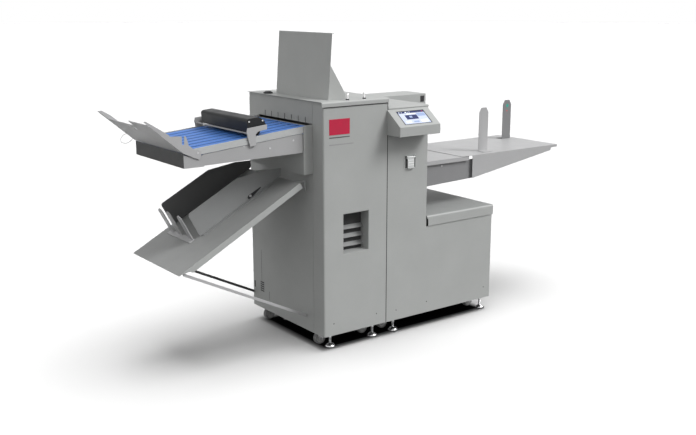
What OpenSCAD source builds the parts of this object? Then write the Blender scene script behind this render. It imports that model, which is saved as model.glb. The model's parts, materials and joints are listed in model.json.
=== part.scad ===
// Automatic sheet creasing and folding machine: suction feeder, creaser and folder
// cabinet, belt conveyor and folded-sheet tray. Sheets travel from right (+X) to left.
// Working coordinates: X = 0 at the left face of the main cabinet, Y = 0 at its front
// panel, Z = 0 on the floor. place() moves the whole machine to its own origin.

/* [Cabinets] */
// Depth of both cabinets, front to back
cab_depth = 589; // [580:1:600]
// Width of the main cabinet
main_w = 343; // [340:1:346]
// Width of the feeder cabinet
feeder_w = 654; // [650:1:660]
// Height of the panels' lower edge above the floor
panel_z = 70; // [70:1:72]
// Height of the front panel of the main cabinet
panel_h = 1000; // [996:1:1004]
// Thickness of the sheet-metal panels
sheet = 2; // [1.5:0.1:2]
// Width of the feeder's tall column
column_w = 232; // [230:1:234]
// Height of the pump bay's front panel
bay_h = 416; // [412:1:418]

/* [Lid and tower] */
// Height of the lid above the panels
lid_h = 22; // [21:1:24]
// How far the lid's front edge overhangs the front panel
lid_over = 4; // [3:0.5:5]
// Height of the sheet tower above the lid
tower_h = 275; // [250:1:300]
// Width of the sheet tower
tower_w = 406; // [390:1:410]
// Lean of the sheet tower from vertical, in degrees
tower_lean = 4.2; // [2:0.1:6]

/* [Conveyor] */
// Slope of the conveyor, in degrees
belt_slope = 5.2; // [4.8:0.1:5.6]
// Length of the conveyor rails
rail_l = 558; // [550:1:560]
// Height of the conveyor rails
rail_h = 27; // [25:1:29]
// Number of belts
belt_count = 8; // [6:1:8]
// Distance between neighbouring belts
belt_pitch = 53.5; // [53:0.1:53.6]
// Width of one belt
belt_w = 40; // [30:1:42]
// Thickness of a belt
belt_t = 1.6; // [1.2:0.1:2]
// Radius of the conveyor rollers
belt_roller_r = 14; // [12:0.5:14]

/* [Trays] */
// Angle of the catch tray's floor from horizontal, in degrees
catch_angle = 40; // [38:1:42]
// Length of the catch tray's floor
catch_l = 183; // [180:1:190]
// Slope of the folded-sheet tray, in degrees
tray_slope = 28; // [27:0.5:29]
// Length of the folded-sheet tray
tray_l = 652; // [640:1:655]
// Height of the tray's side guides
guide_h = 114; // [100:1:116]
// Length of a stop finger
finger_l = 124; // [100:1:125]

/* [Feed table] */
// Height of the feed table's top above the floor
table_z = 770; // [765:1:775]
// Width of the feed table
table_w = 420; // [415:1:424]
// Right-hand end of the extension table
table_end = 1540; // [1520:5:1560]

/* [Wheels and feet] */
// Radius of the castor wheels
castor_r = 27; // [25:0.5:28]
// Radius of the levelling pads
pad_r = 25; // [20:1:30]

/* [Hidden] */
$fn = 64;

paint = [0.65, 0.66, 0.65];
paint_dark = [0.50, 0.51, 0.50];
paint_neutral = [0.67, 0.67, 0.68];
steel = [0.75, 0.76, 0.78];
black = [0.10, 0.10, 0.11];
rubber = [0.16, 0.16, 0.17];

gap = 1;
run_fit = 0.05;
clear = 0.3;
y_mid = cab_depth / 2;
panel_top = panel_z + panel_h;
lid_top = panel_top + lid_h;
lid_under = lid_top - sheet;
frame_gap = 6;
base_z = panel_z + frame_gap;
base_t = 6;
post = 25;
side_t = 6;
side_y = frame_gap + post;
seam_y = 77;

// Machine centre line and where the parts of the paper path lie
path_w = 426;
path_y0 = y_mid - path_w / 2;
path_y1 = y_mid + path_w / 2;

// Overall box, from which the origin is set
catch_floor_x = -602;
catch_floor_z = 928;
catch_tongue = 205;
x_min = catch_floor_x - catch_tongue * cos(catch_angle);
x_max = table_end;
console_out = 91;
y_min = -console_out;
hinge_y = cab_depth + 7;
hinge_z = panel_top + 10;
hinge_r = 5;
y_max = hinge_y + hinge_r;
x_origin = (x_min + x_max) / 2;
y_origin = (y_min + y_max) / 2;

// Inside the main cabinet: x and z of each shaft
infeed_r = 20;
infeed_x = 270;
infeed_top_z = 985;
infeed_low_z = infeed_top_z - 2 * infeed_r - clear;
fold_r = 22;
fold_left_x = 88;
fold_gap = 0.6;
fold_right_x = fold_left_x + 2 * fold_r + fold_gap;
fold_z = 900;
fold_mid_x = (fold_left_x + fold_right_x) / 2;
journal_r = 8;
motor_x = 245;
motor_z = 700;
motor_r = 35;
motor_shaft_r = 5;
motor_pulley_r = 20;
fold_pulley_r = 30;
pulley_w = 12;
pulley_y = cab_depth - 26;
blade_x = 187;

// Inside the feeder
column_x0 = main_w + gap;
column_x1 = main_w + column_w;
feeder_x1 = main_w + feeder_w;
column_top = 1046;
bay_top = panel_z + bay_h;
drum_r = 44;
drum_x = 528;
drum_z = 905;

// Conveyor: the sloped frame starts at the rails' lower left end
rail_x0 = -560;
rail_z0 = 941;
rail_t = 5.5;
rail_y0 = path_y0 - rail_t + 0.5;
rail_y1 = path_y1 + rail_t - 0.5;
belt_v = -2;
roller_v = belt_v - belt_t - clear - belt_roller_r;
tail_u = 18;
drive_u = 534;
axle_r = 4;
end_x = -600;
wing_x = -518;
house_x = -47;
house_z = 783;

// Catch tray: its walls turn on the tail roller's axle, just outside the rails
catch_pivot_x = rail_x0 + tail_u * cos(belt_slope) - roller_v * sin(belt_slope);
catch_pivot_z = rail_z0 + tail_u * sin(belt_slope) + roller_v * cos(belt_slope);
wall_y0 = rail_y0 - 4.5;
wall_y1 = rail_y1 + 2.5;

// Pinch unit, in the sloped frame
pinch_u0 = 256;
pinch_u1 = 344;
pinch_y0 = 86;
pinch_y1 = 474;
pinch_wheel_r = 18;
pinch_v = belt_v + clear + pinch_wheel_r;
pinch_u = (pinch_u0 + pinch_u1) / 2;

// Folded-sheet tray: lower left end of its floor
tray_x0 = -638;
tray_z0 = 444;
tray_y0 = 80.5;
tray_y1 = 512;
near_guide_y = 248;
far_guide_y = 500;
finger_p = 181;
finger_w = 38;
finger_ys = [272, 372, 447];

// Feed table
table_x0 = 580;
table_y0 = y_mid - table_w / 2;
table_y1 = y_mid + table_w / 2;
lip_x1 = 918;
lip_h = 20;
ext_x0 = 872;
gusset_x0 = 938;
bracket_x1 = 956;
guide_plate_h = 215;

foot_xs = [68, 304, 426, 984];
rear_foot_xs = [120, 252, 478, 932];
foot_spots = concat([for (x = foot_xs) [x, 52]], [for (x = rear_foot_xs) [x, cab_depth - 114]]);
castor_xs = [50, 286, 403, 952];
castor_ys = [110, cab_depth - 56];
castor_w = 22;
castor_axle_r = 5;
castor_z = castor_r + 2;

module place() {
    translate([-x_origin, -y_origin, 0]) children();
}

// Frame whose first axis runs up the conveyor
module on_belt_slope() {
    translate([rail_x0, 0, rail_z0]) rotate([0, -belt_slope, 0]) children();
}

// Frame whose first axis runs up the folded-sheet tray
module on_tray_slope() {
    translate([tray_x0, 0, tray_z0]) rotate([0, -tray_slope, 0]) children();
}

// Box given by its lowest and highest corners
module span(lo, hi) {
    translate(lo) cube([hi[0] - lo[0], hi[1] - lo[1], hi[2] - lo[2]]);
}

// Outline in X and Z, extruded along Y from y0 to y1
module slab(points, y0, y1) {
    translate([0, y1, 0]) rotate([90, 0, 0]) linear_extrude(y1 - y0) polygon(points);
}

// Rod along Y
module rod_y(x, z, r, y0, y1) {
    translate([x, y1, z]) rotate([90, 0, 0]) cylinder(r = r, h = y1 - y0);
}

// Rod along X
module rod_x(y, z, r, x0, x1) {
    translate([x0, y, z]) rotate([0, 90, 0]) cylinder(r = r, h = x1 - x0);
}

// ---------------------------------------------------------------- main cabinet

module frame_posts(xs, z1) {
    for (x = xs, y = [frame_gap, cab_depth - frame_gap - post]) {
        span([x, y, base_z + base_t], [x + post, y + post, z1]);
    }
}

module main_frame() {
    x0 = frame_gap;
    x1 = main_w - frame_gap;
    rail_top = panel_top - 10;
    color(paint_dark) place() difference() {
        union() {
            span([x0, frame_gap, base_z], [x1, cab_depth - frame_gap, base_z + base_t]);
            frame_posts([x0, x1 - post], rail_top);
            for (x = [x0, x1 - post]) {
                span([x, side_y, rail_top - 14], [x + post, cab_depth - side_y, rail_top]);
            }
            for (y = [side_y, cab_depth - side_y - side_t]) {
                span([x0 + 4, y, 640], [x1 - 4, y + side_t, rail_top - 14]);
            }
            // Creasing anvil across the paper path
            span([blade_x - 9, side_y, 946], [blade_x + 9, cab_depth - side_y, 966]);
            // Lower tie bar
            span([60, side_y, 650], [90, cab_depth - side_y, 665]);
        }
        for (y = [side_y, cab_depth - side_y - side_t]) {
            for (s = [[infeed_x, infeed_top_z], [infeed_x, infeed_low_z],
                      [fold_left_x, fold_z], [fold_right_x, fold_z]]) {
                rod_y(s[0], s[1], journal_r + run_fit, y - 1, y + side_t + 1);
            }
        }
        rod_y(motor_x, motor_z, motor_shaft_r + 1, cab_depth - side_y - side_t - 1,
            cab_depth - side_y + 1);
    }
}

vent_x0 = 102.5;
vent_x1 = 241.5;
vent_z0 = panel_z + 360;
vent_z1 = panel_z + 538.5;

// Front panel with a rounded left corner and a return along the left face
module main_front_panel() {
    x1 = main_w - 1.5;
    z1 = panel_top + 8;
    bend = 8;
    color(paint) place() difference() {
        union() {
            span([bend, 0, panel_z], [x1, sheet, z1]);
            span([0, bend, panel_z], [sheet, seam_y, lid_under - gap]);
            span([x1 - sheet, 0, panel_z], [x1, 24, z1]);
            translate([bend, bend, panel_z]) linear_extrude(z1 - panel_z) difference() {
                circle(r = bend);
                circle(r = bend - sheet);
                translate([0, -2 * bend]) square([2 * bend, 4 * bend]);
                translate([-2 * bend, 0]) square([4 * bend, 2 * bend]);
            }
        }
        span([vent_x0, -1, vent_z0], [vent_x1, sheet + 1, vent_z1]);
    }
}

module vent_louvres() {
    blades = 3;
    depth = 56;
    wall = 1.5;
    recess = 37;
    first_drop = 80;
    pitch = 38.8;
    blade_h = 22;
    color(paint) place() {
        difference() {
            span([vent_x0 + 0.2, 0.3, vent_z0 + 0.2], [vent_x1 - 0.2, depth, vent_z1 - 0.2]);
            span([vent_x0 + wall, 0, vent_z0 + wall], [vent_x1 - wall, depth + 1, vent_z1 - wall]);
        }
        for (i = [0 : blades - 1]) {
            translate([vent_x0 + wall, recess, vent_z1 - first_drop - pitch * i]) rotate([-45, 0, 0])
                cube([vent_x1 - vent_x0 - 2 * wall, 1.6, blade_h]);
        }
    }
}

// Plain colour block with a thin line below it
module badge() {
    x = 31;
    z = 952;
    w = 106;
    h = 66;
    color([0.69, 0.09, 0.27]) place() {
        span([x, -1.2, z], [x + w, -0.01, z + h]);
        span([x, -0.8, z - 13], [x + w, -0.01, z - 9]);
    }
}

module main_rear_panel() {
    pin_r = 2.5;
    color(paint) place() {
        span([0.5, cab_depth - sheet, panel_z], [main_w - 0.5, cab_depth, panel_top - 4]);
        // Lugs and pins of the lid's hinges
        for (x = [40, main_w - 80]) {
            difference() {
                union() {
                    span([x, cab_depth, hinge_z - 40], [x + 12, cab_depth + 3, hinge_z - 5]);
                    span([x, cab_depth, hinge_z - 12], [x + 12, hinge_y + 1, hinge_z - 3]);
                    rod_x(hinge_y, hinge_z, hinge_r, x, x + 12);
                }
                span([x - 1, cab_depth - 1, hinge_z - 1], [x + 13, cab_depth + 1.4, hinge_z + 9]);
            }
            rod_x(hinge_y, hinge_z, pin_r, x + 12, x + 40);
        }
    }
}

slot_z = 984;
slot_h = 11;

module exit_end_panel() {
    slit_y = y_mid - 3;
    color(paint) place() difference() {
        span([0, seam_y + gap, panel_z], [sheet, cab_depth - sheet - 0.5, lid_under - gap]);
        span([-1, path_y0 + 2, slot_z], [sheet + 1, path_y1 - 2, slot_z + slot_h]);
        for (i = [1 : belt_count - 1]) {
            y = slit_y + (i - belt_count / 2) * belt_pitch;
            span([-1, y - 2.5, slot_z + slot_h - 1], [sheet + 1, y + 2.5, slot_z + slot_h + 25]);
        }
        span([-1, 100, 795], [sheet + 1, 490, 865]);
    }
}

// Open-bottomed shroud between the cabinet and the conveyor's upper end: folded sheets
// leave the cabinet inside it and drop to the lower tray
module exit_housing() {
    y0 = rail_y0 - 2.5;
    y1 = rail_y1 + 2.5;
    x1 = -0.2;
    rise = tan(belt_slope);
    top0 = rail_z0 + (house_x - rail_x0) * rise;
    top1 = rail_z0 + (x1 - rail_x0) * rise;
    color(paint) place() {
        for (y = [y0, y1 - sheet]) {
            slab([[house_x, house_z], [x1, house_z], [x1, top1], [house_x, top0]], y, y + sheet);
        }
        span([house_x, y0 + sheet, house_z], [house_x + sheet, y1 - sheet, 950]);
    }
}

// ---------------------------------------------------------------- crease and fold station

module drive_motor() {
    y1 = cab_depth - side_y - side_t;
    color(black) place() difference() {
        union() {
            rod_y(motor_x, motor_z, motor_r, y1 - 108, y1 - 6);
            span([motor_x - 40, y1 - 6, motor_z - 40], [motor_x + 40, y1, motor_z + 40]);
            span([motor_x - 16, y1 - 90, motor_z + motor_r - 4],
                [motor_x + 16, y1 - 40, motor_z + motor_r + 14]);
        }
        rod_y(motor_x, motor_z, motor_shaft_r + run_fit, y1 - 30, y1 + 1);
    }
}

module motor_pulley() {
    y1 = cab_depth - side_y - side_t;
    color(steel) place() {
        rod_y(motor_x, motor_z, motor_shaft_r, y1 - 28, pulley_y);
        rod_y(motor_x, motor_z, motor_pulley_r, pulley_y, pulley_y + pulley_w);
    }
}

module belt_loop(grow) {
    hull() {
        translate([motor_x, motor_z]) circle(r = motor_pulley_r + clear + grow, $fn = 32);
        translate([fold_right_x, fold_z]) circle(r = fold_pulley_r + clear + grow, $fn = 32);
    }
}

module drive_belt() {
    color(rubber) place() translate([0, pulley_y + pulley_w - 1, 0]) rotate([90, 0, 0])
        linear_extrude(pulley_w - 2) difference() {
            belt_loop(2.2);
            belt_loop(0);
        }
}

module control_box() {
    color([0.55, 0.57, 0.60]) place() {
        span([60, 430, base_z + base_t], [280, 545, 400]);
        for (i = [0 : 5]) {
            span([75, 426, 130 + i * 42], [265, 430, 140 + i * 42]);
        }
    }
}

// Roller with journals that run in both side plates
module station_roller(x, z, r) {
    inner = side_y + side_t + 3;
    rod_y(x, z, r, inner, cab_depth - inner);
    rod_y(x, z, journal_r, side_y, cab_depth - side_y);
}

module infeed_roller_top() {
    color(rubber) place() station_roller(infeed_x, infeed_top_z, infeed_r);
}

module infeed_roller_bottom() {
    color(steel) place() station_roller(infeed_x, infeed_low_z, infeed_r);
}

module fold_roller_left() {
    color(rubber) place() station_roller(fold_left_x, fold_z, fold_r);
}

module fold_roller_right() {
    color(rubber) place() {
        station_roller(fold_right_x, fold_z, fold_r);
        rod_y(fold_right_x, fold_z, journal_r, cab_depth - side_y, pulley_y);
        rod_y(fold_right_x, fold_z, fold_pulley_r, pulley_y, pulley_y + pulley_w);
    }
}

module crease_blade() {
    color(steel) place() difference() {
        union() {
            span([blade_x - 4, 60, 992], [blade_x + 4, cab_depth - 60, 1030]);
            span([blade_x - 1, 60, 986], [blade_x + 1, cab_depth - 60, 992]);
        }
        for (y = [100, cab_depth - 100]) {
            rod_x(y, 1012, 4, blade_x - 5, blade_x + 5);
        }
    }
}

module fold_knife() {
    color(steel) place() {
        span([fold_mid_x - 0.8, 60, 945], [fold_mid_x + 0.8, cab_depth - 60, 985]);
        span([fold_mid_x - 8, 60, 985], [fold_mid_x + 8, cab_depth - 60, 1001]);
    }
}

// ---------------------------------------------------------------- lid

// Side view of the lid's sheet: front wall, rounded edge and roof
module lid_section(t) {
    front = -lid_over + t;
    rear = cab_depth + 2;
    low = panel_top - t;
    top = lid_top - t;
    r = 9 - t;
    translate([front + r, top - r]) circle(r = r);
    polygon([[front, low], [front, top - r], [front + r, top - r], [front + r, top],
        [rear + t, top], [rear + t, low]]);
}

module top_lid() {
    x0 = -8;
    x1 = main_w + 3.5;
    rear = cab_depth + 2;
    color(paint) place() {
        difference() {
            translate([x0, 0, 0]) rotate([90, 0, 90]) linear_extrude(x1 - x0) lid_section(0);
            translate([x0 - 1, 0, 0]) rotate([90, 0, 90]) linear_extrude(x1 - x0 + 1 - sheet)
                lid_section(sheet);
        }
        // Hinge barrels behind the lid
        for (x = [40, main_w - 80]) {
            difference() {
                union() {
                    rod_x(hinge_y, hinge_z, hinge_r, x + 13, x + 39);
                    span([x + 13, rear - 3, lid_top - 2], [x + 39, hinge_y, lid_top]);
                    span([x + 13, hinge_y - 2.4, hinge_z + 3.5], [x + 39, hinge_y, lid_top]);
                }
                rod_x(hinge_y, hinge_z, 2.5 + run_fit, x + 12, x + 40);
            }
        }
    }
}

tower_x = 68;
tower_y0 = 57;

module sheet_tower() {
    y1 = tower_y0 + tower_w;
    top_x = tower_x + tower_h * tan(tower_lean);
    z1 = lid_top + tower_h;
    color(paint) place() {
        slab([[tower_x, lid_top], [tower_x + sheet, lid_top], [top_x + sheet, z1], [top_x, z1]],
            tower_y0, y1);
        // Lip folded back along the top edge
        slab([[top_x, z1 - sheet], [top_x + 12, z1 - sheet], [top_x + 12, z1], [top_x, z1]],
            tower_y0, y1);
        // Foot flange and the two gussets
        span([tower_x + sheet, tower_y0, lid_top], [tower_x + 24, y1, lid_top + sheet]);
        for (y = [tower_y0, y1 - sheet]) {
            slab([[tower_x + 1, lid_top], [tower_x + 90, lid_top], [tower_x + 86, lid_top + 26],
                [tower_x + 11.5, lid_top + 146]], y, y + sheet);
        }
    }
}

module lid_pegs() {
    color(steel) place() for (x = [137, 226]) {
        translate([x, 16, lid_top]) {
            cylinder(r = 7.5, h = 5);
            cylinder(r = 5, h = 24);
            translate([0, 0, 20]) cylinder(r = 6.5, h = 7);
        }
    }
}

knob_x = 21;
knob_y = 458;

module gap_knob() {
    color(black) place() translate([knob_x, knob_y, lid_top + clear]) difference() {
        union() {
            cylinder(r = 21, h = 5);
            translate([0, 0, 5]) cylinder(r1 = 20, r2 = 12, h = 6);
        }
        translate([-1, 6, 10]) cube([2, 5, 2]);
    }
}

// ---------------------------------------------------------------- feeder cabinet

module feeder_frame() {
    x0 = column_x0 + frame_gap;
    x1 = feeder_x1 - frame_gap;
    top = column_top - 12;
    color(paint_dark) place() difference() {
        union() {
            span([x0, frame_gap, base_z], [x1, cab_depth - frame_gap, base_z + base_t]);
            frame_posts([x0, column_x1 - post - 4], top);
            frame_posts([x1 - post], bay_top - 8);
            for (y = [side_y, cab_depth - side_y - side_t]) {
                span([x0 + 4, y, 700], [column_x1 - 4, y + side_t, 1010]);
            }
            // Stop plate in front of the stack
            span([column_x1 - 2, seam_y + 1, bay_top + 50],
                [column_x1, cab_depth - sheet - 0.5, column_top - 8]);
        }
        for (y = [side_y, cab_depth - side_y - side_t]) {
            rod_y(drum_x, drum_z, 10 + run_fit, y - 1, y + side_t + 1);
        }
        // Feed opening under the drum, and the slots that the table's arms run in
        span([column_x1 - 3, path_y0 + 8, 852], [column_x1 + 1, path_y1 - 8, 950]);
        for (y = [table_y0 + 8, table_y1 - 22]) {
            span([column_x1 - 3, y, 540], [column_x1 + 1, y + 14, 853]);
        }
    }
}

module feeder_front_panel() {
    x0 = column_x0;
    color(paint) place() {
        slab([[x0, panel_z], [feeder_x1, panel_z], [feeder_x1, bay_top], [column_x1, bay_top],
            [column_x1, column_top - 4], [x0, column_top - 4]], 0, sheet);
        span([feeder_x1 - sheet, sheet, panel_z], [feeder_x1, 20, bay_top]);
        span([column_x1 - sheet, sheet, bay_top + 50], [column_x1, seam_y, column_top - 4]);
    }
}

module feeder_rear_cover() {
    x0 = column_x0;
    y0 = cab_depth - sheet;
    color(paint) place() {
        slab([[x0, panel_z], [feeder_x1, panel_z], [feeder_x1, bay_top], [column_x1, bay_top],
            [column_x1, column_top - 4], [x0, column_top - 4]], y0, cab_depth);
        span([feeder_x1 - sheet, 21, panel_z], [feeder_x1, y0, bay_top]);
    }
}

module feeder_top_cover() {
    x0 = main_w + 4.5;
    x1 = column_x1 + 1.5;
    color(paint) place()
        translate([x0, 0, 0]) rotate([90, 0, 90]) linear_extrude(x1 - x0)
            polygon([[-1.5, column_top - 6], [-1.5, column_top - 3.2], [9, column_top + 2],
                [cab_depth + 1, column_top + 2], [cab_depth + 1, column_top - 14],
                [cab_depth + 0.2, column_top - 14], [cab_depth + 0.2, column_top - 3.5],
                [-0.2, column_top - 3.5], [-0.2, column_top - 6]]);
}

module pump_bay_cover() {
    x0 = column_x1 + 4;
    x1 = feeder_x1 + 4;
    z0 = bay_top + 1;
    z1 = bay_top + 49;
    r = 9;
    color(paint) place() {
        difference() {
            translate([x0, 0, 0]) rotate([90, 0, 90]) linear_extrude(x1 - x0) difference() {
                intersection() {
                    union() {
                        translate([-4 + r, z1 - r]) circle(r = r);
                        translate([-4, z0]) square([r, z1 - r - z0]);
                        translate([-4 + r, z0]) square([cab_depth + 8 - r, z1 - z0]);
                    }
                    translate([-4, z0]) square([cab_depth + 8, z1 - z0]);
                }
                translate([-4 + r, z1 - r]) circle(r = r - sheet);
                translate([-4 + sheet, z0 - 1]) square([r, z1 - r - z0 + 1]);
                translate([-4 + r, z0 - 1]) square([cab_depth + 8 - r - sheet, z1 - z0 - sheet + 1]);
            }
            // Notch at the left end of the front lip
            span([x0 - 1, -5, z0 - 1], [x0 + 6, 4, z0 + 34]);
        }
        for (x = [x0, x1 - sheet]) {
            span([x, -4 + r, z0], [x + sheet, cab_depth + 3, z1 - sheet]);
        }
    }
}

console_x0 = 338;
console_x1 = 568;
console_z0 = 928;
console_front_z = 970;
console_back_z = 1038;
console_slope = atan2(console_back_z - console_front_z, console_out);
screen_w = 152;
screen_h = 80;

// Frame on the console's slanted face: X to the right, Y up the slope
module on_console_face() {
    translate([(console_x0 + console_x1) / 2, -console_out, console_front_z])
        rotate([console_slope, 0, 0]) children();
}

module console_side(grow) {
    polygon([[-console_out + grow, console_z0 + grow],
        [-console_out + grow, console_front_z - grow * 0.7],
        [-0.3, console_back_z - grow * 1.2], [-0.3, console_z0 + grow]]);
}

module console_housing() {
    wall = 3;
    color(paint) place() difference() {
        translate([console_x0, 0, 0]) rotate([90, 0, 90])
            linear_extrude(console_x1 - console_x0) console_side(0);
        translate([console_x0 + wall, 0, 0]) rotate([90, 0, 90])
            linear_extrude(console_x1 - console_x0 - 2 * wall) console_side(wall);
        on_console_face() translate([-screen_w / 2 - 0.3, 14.7, -8])
            cube([screen_w + 0.6, screen_h + 0.6, 20]);
    }
}

module touch_screen() {
    color([0.12, 0.16, 0.30]) place() on_console_face()
        translate([-screen_w / 2, 15, -4]) cube([screen_w, screen_h, 4]);
}

latch_x = 472;
latch_z = 799;
latch_w = 68;
latch_h = 62;
latch_pin_z = latch_z + 21;
paddle_w = 38;

module latch_plate() {
    color(steel) place() difference() {
        union() {
            span([latch_x - latch_w / 2, -2.2, latch_z - latch_h / 2],
                [latch_x + latch_w / 2, -0.1, latch_z + latch_h / 2]);
            for (s = [-1, 1]) {
                span([latch_x + s * 24 - 2, -12, latch_pin_z - 7],
                    [latch_x + s * 24 + 2, -2.2, latch_pin_z + 7]);
            }
        }
        rod_x(-7, latch_pin_z, 2 + run_fit, latch_x - 40, latch_x + 40);
    }
}

module latch_paddle() {
    x0 = latch_x - paddle_w / 2;
    x1 = latch_x + paddle_w / 2;
    z0 = latch_z - latch_h / 2 + 2;
    color(steel) place() {
        span([x0, -8, z0], [x1, -5, latch_pin_z - 2]);
        span([x0, -12, z0], [x1, -8, z0 + 4]);
        rod_x(-7, latch_pin_z, 4.5, x0 - 2, x1 + 2);
        rod_x(-7, latch_pin_z, 2, x0 - 7, x1 + 7);
    }
}

rear_x0 = column_x1 + 0.2;
rear_x1 = 935;
rear_y0 = 430;
rear_y1 = cab_depth - 2;
rear_z0 = 987;
rear_z1 = 1041;
rocker_x = 912;
rocker_z = 1015;

module rear_housing() {
    wall = 2.5;
    color(paint) place() difference() {
        span([rear_x0, rear_y0, rear_z0], [rear_x1, rear_y1, rear_z1]);
        span([rear_x0 + wall, rear_y0 + wall, rear_z0 + wall],
            [rear_x1 - wall, rear_y1 - wall, rear_z1 - wall]);
        span([rocker_x - 12, rear_y0 - 1, rocker_z - 15], [rocker_x + 12, rear_y0 + 4, rocker_z + 15]);
    }
}

module rocker_switch() {
    color(black) place() {
        slab([[rocker_x - 10.5, rocker_z - 13.5], [rocker_x + 10.5, rocker_z - 13.5],
            [rocker_x + 10.5, rocker_z + 13.5], [rocker_x - 10.5, rocker_z + 13.5]],
            rear_y0 - 1, rear_y0 + 5);
        rod_x(rear_y0 + 5, rocker_z, 4, rocker_x - 10.5, rocker_x + 10.5);
    }
}

module vacuum_pump() {
    z = 200;
    y = 300;
    color([0.25, 0.28, 0.33]) place() {
        rod_x(y, z, 70, 640, 860);
        rod_x(y, z, 84, 862, 930);
        span([860, y - 30, z - 30], [862, y + 30, z + 30]);
        for (x = [670, 800]) {
            difference() {
                span([x, y - 75, base_z + base_t], [x + 30, y + 75, z - 20]);
                rod_x(y, z, 70, x - 1, x + 31);
            }
        }
        translate([896, y, z + 80]) cylinder(r = 16, h = 60);
    }
}

module suction_drum() {
    y0 = side_y + side_t + 20;
    color(steel) place() difference() {
        union() {
            rod_y(drum_x, drum_z, drum_r, y0, cab_depth - y0);
            rod_y(drum_x, drum_z, 10, side_y, cab_depth - side_y);
        }
        for (i = [0 : 6], a = [-100, -60]) {
            translate([drum_x, y0 + 45 + i * 64, drum_z]) rotate([0, -a, 0])
                translate([drum_r - 5, 0, 0]) rotate([0, 90, 0]) cylinder(r = 5, h = 10, $fn = 24);
        }
    }
}

module mains_inlet() {
    x = 900;
    z = 150;
    color(black) place() difference() {
        span([x - 25, cab_depth + 0.1, z - 16], [x + 25, cab_depth + 4, z + 16]);
        span([x - 13, cab_depth + 1, z - 9], [x + 13, cab_depth + 5, z + 9]);
    }
}

// ---------------------------------------------------------------- feed table

module feed_table() {
    y0 = table_y0;
    y1 = table_y1;
    z1 = table_z - 2.2;
    color(paint_neutral) place() {
        span([table_x0, y0, z1 - sheet], [lip_x1, y1, z1]);
        for (y = [y0, y1 - sheet]) {
            span([table_x0, y, z1 - lip_h], [lip_x1, y + sheet, z1 - sheet]);
        }
        for (y = [y0 + 12, y1 - 15]) {
            slab([[table_x0 + 2, 645], [bracket_x1, 657], [bracket_x1, z1 - lip_h + 2],
                [lip_x1 - 1, z1 - lip_h + 2], [lip_x1 - 1, z1 - sheet], [table_x0 + 2, z1 - sheet]],
                y, y + 3);
            span([column_x1 - 20, y, 650], [table_x0 + 3, y + 3, 700]);
        }
        // Carriage bar inside the column
        span([column_x1 - 24, y0 + 5, 650], [column_x1 - 12, y1 - 5, 700]);
    }
}

module table_extension() {
    y0 = table_y0 - 2.2;
    y1 = table_y1 + 2.2;
    z1 = table_z;
    color(paint_neutral) place() {
        span([ext_x0, y0, z1 - sheet], [table_end, y1, z1]);
        for (y = [y0, y1 - sheet]) {
            slab([[gusset_x0, 658], [1492, 743], [1494, 756], [table_end, 758],
                [table_end, z1 - sheet], [gusset_x0, z1 - sheet]], y, y + sheet);
        }
    }
}

// Upright with cut top corners and a foot on the table
module side_guide(x0, x1, y, foot_dir, h) {
    cut_x = 14;
    cut_z = 24;
    z0 = table_z + 0.3;
    slab([[x0, z0], [x1, z0], [x1, z0 + h - cut_z], [x1 - cut_x, z0 + h], [x0 + cut_x, z0 + h],
        [x0, z0 + h - cut_z]], y, y + sheet);
    span([x0, foot_dir > 0 ? y + sheet : y - 38, z0],
        [x1, foot_dir > 0 ? y + sheet + 38 : y, z0 + sheet]);
}

module front_side_guide() {
    color(paint_neutral) place() side_guide(1040, 1102, 150, -1, guide_plate_h);
}

module rear_side_guide() {
    color(paint_neutral) place() side_guide(1444, 1506, 385, 1, guide_plate_h - 8);
}

// ---------------------------------------------------------------- conveyor

// Heights of the bottom pan and of the slider bed at x
pan_x0 = wing_x + 0.5;
pan_x1 = house_x - 2;
function pan_z(x) = 872 + 7 * (x - pan_x0) / (pan_x1 - pan_x0);
function bed_z(x) = rail_z0 + (x - rail_x0) * tan(belt_slope) + belt_v - belt_t - 2;

module conveyor_frame() {
    y0 = path_y0;
    y1 = path_y1;
    color(paint_neutral) place() {
        for (y = [y0 - 3, y1 + 1]) {
            slab([[pan_x0, 871], [pan_x1, 878], [pan_x1, 959], [pan_x0, 916]], y, y + sheet);
        }
        // Bottom pan between the side panels
        slab([[pan_x0, 871], [pan_x1, 878], [pan_x1, 880], [pan_x0, 873]], y0 - 1, y1 + 1);
        // End box: outer face and its two wings
        span([end_x, y0 - 5, 868], [end_x + sheet, y1 + 5, 926]);
        for (y = [y0 - 5, y1 + 3]) {
            slab([[end_x + sheet, 868], [wing_x + 6, 868], [wing_x + 6, 914], [-534, 912],
                [-560, 909], [end_x + sheet, 920]], y, y + sheet);
        }
        span([end_x + sheet, y0 - 3, 868], [pan_x0, y1 + 3, 870]);
        // Slider bed that carries the belts
        on_belt_slope() span([48, y0 + 1, belt_v - belt_t - 3], [502, y1 - 1, belt_v - belt_t - 0.6]);
        // Supports of the slider bed, up from the bottom pan
        for (x = [-470, -122], y = [y0 + 0.8, y1 - 2.5]) {
            slab([[x, pan_z(x)], [x + 20, pan_z(x + 20)], [x + 20, bed_z(x + 20)], [x, bed_z(x)]],
                y, y + 1.7);
        }
    }
}

module conveyor_rails() {
    color([0.80, 0.82, 0.82]) place() on_belt_slope() difference() {
        for (y = [rail_y0, rail_y1 - rail_t]) {
            span([0, y, -rail_h], [rail_l, y + rail_t, 0]);
        }
        for (u = [tail_u, drive_u]) {
            rod_y(u, roller_v, axle_r + run_fit, rail_y0 - 1, rail_y1 + 1);
        }
    }
}

module belt_roller(u, y0, y1) {
    on_belt_slope() {
        rod_y(u, roller_v, belt_roller_r, path_y0 + 4, path_y1 - 4);
        rod_y(u, roller_v, axle_r, y0, y1);
    }
}

module tail_roller() {
    color(steel) place() belt_roller(tail_u, wall_y0 - 1, wall_y1 + sheet + 1);
}

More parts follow.
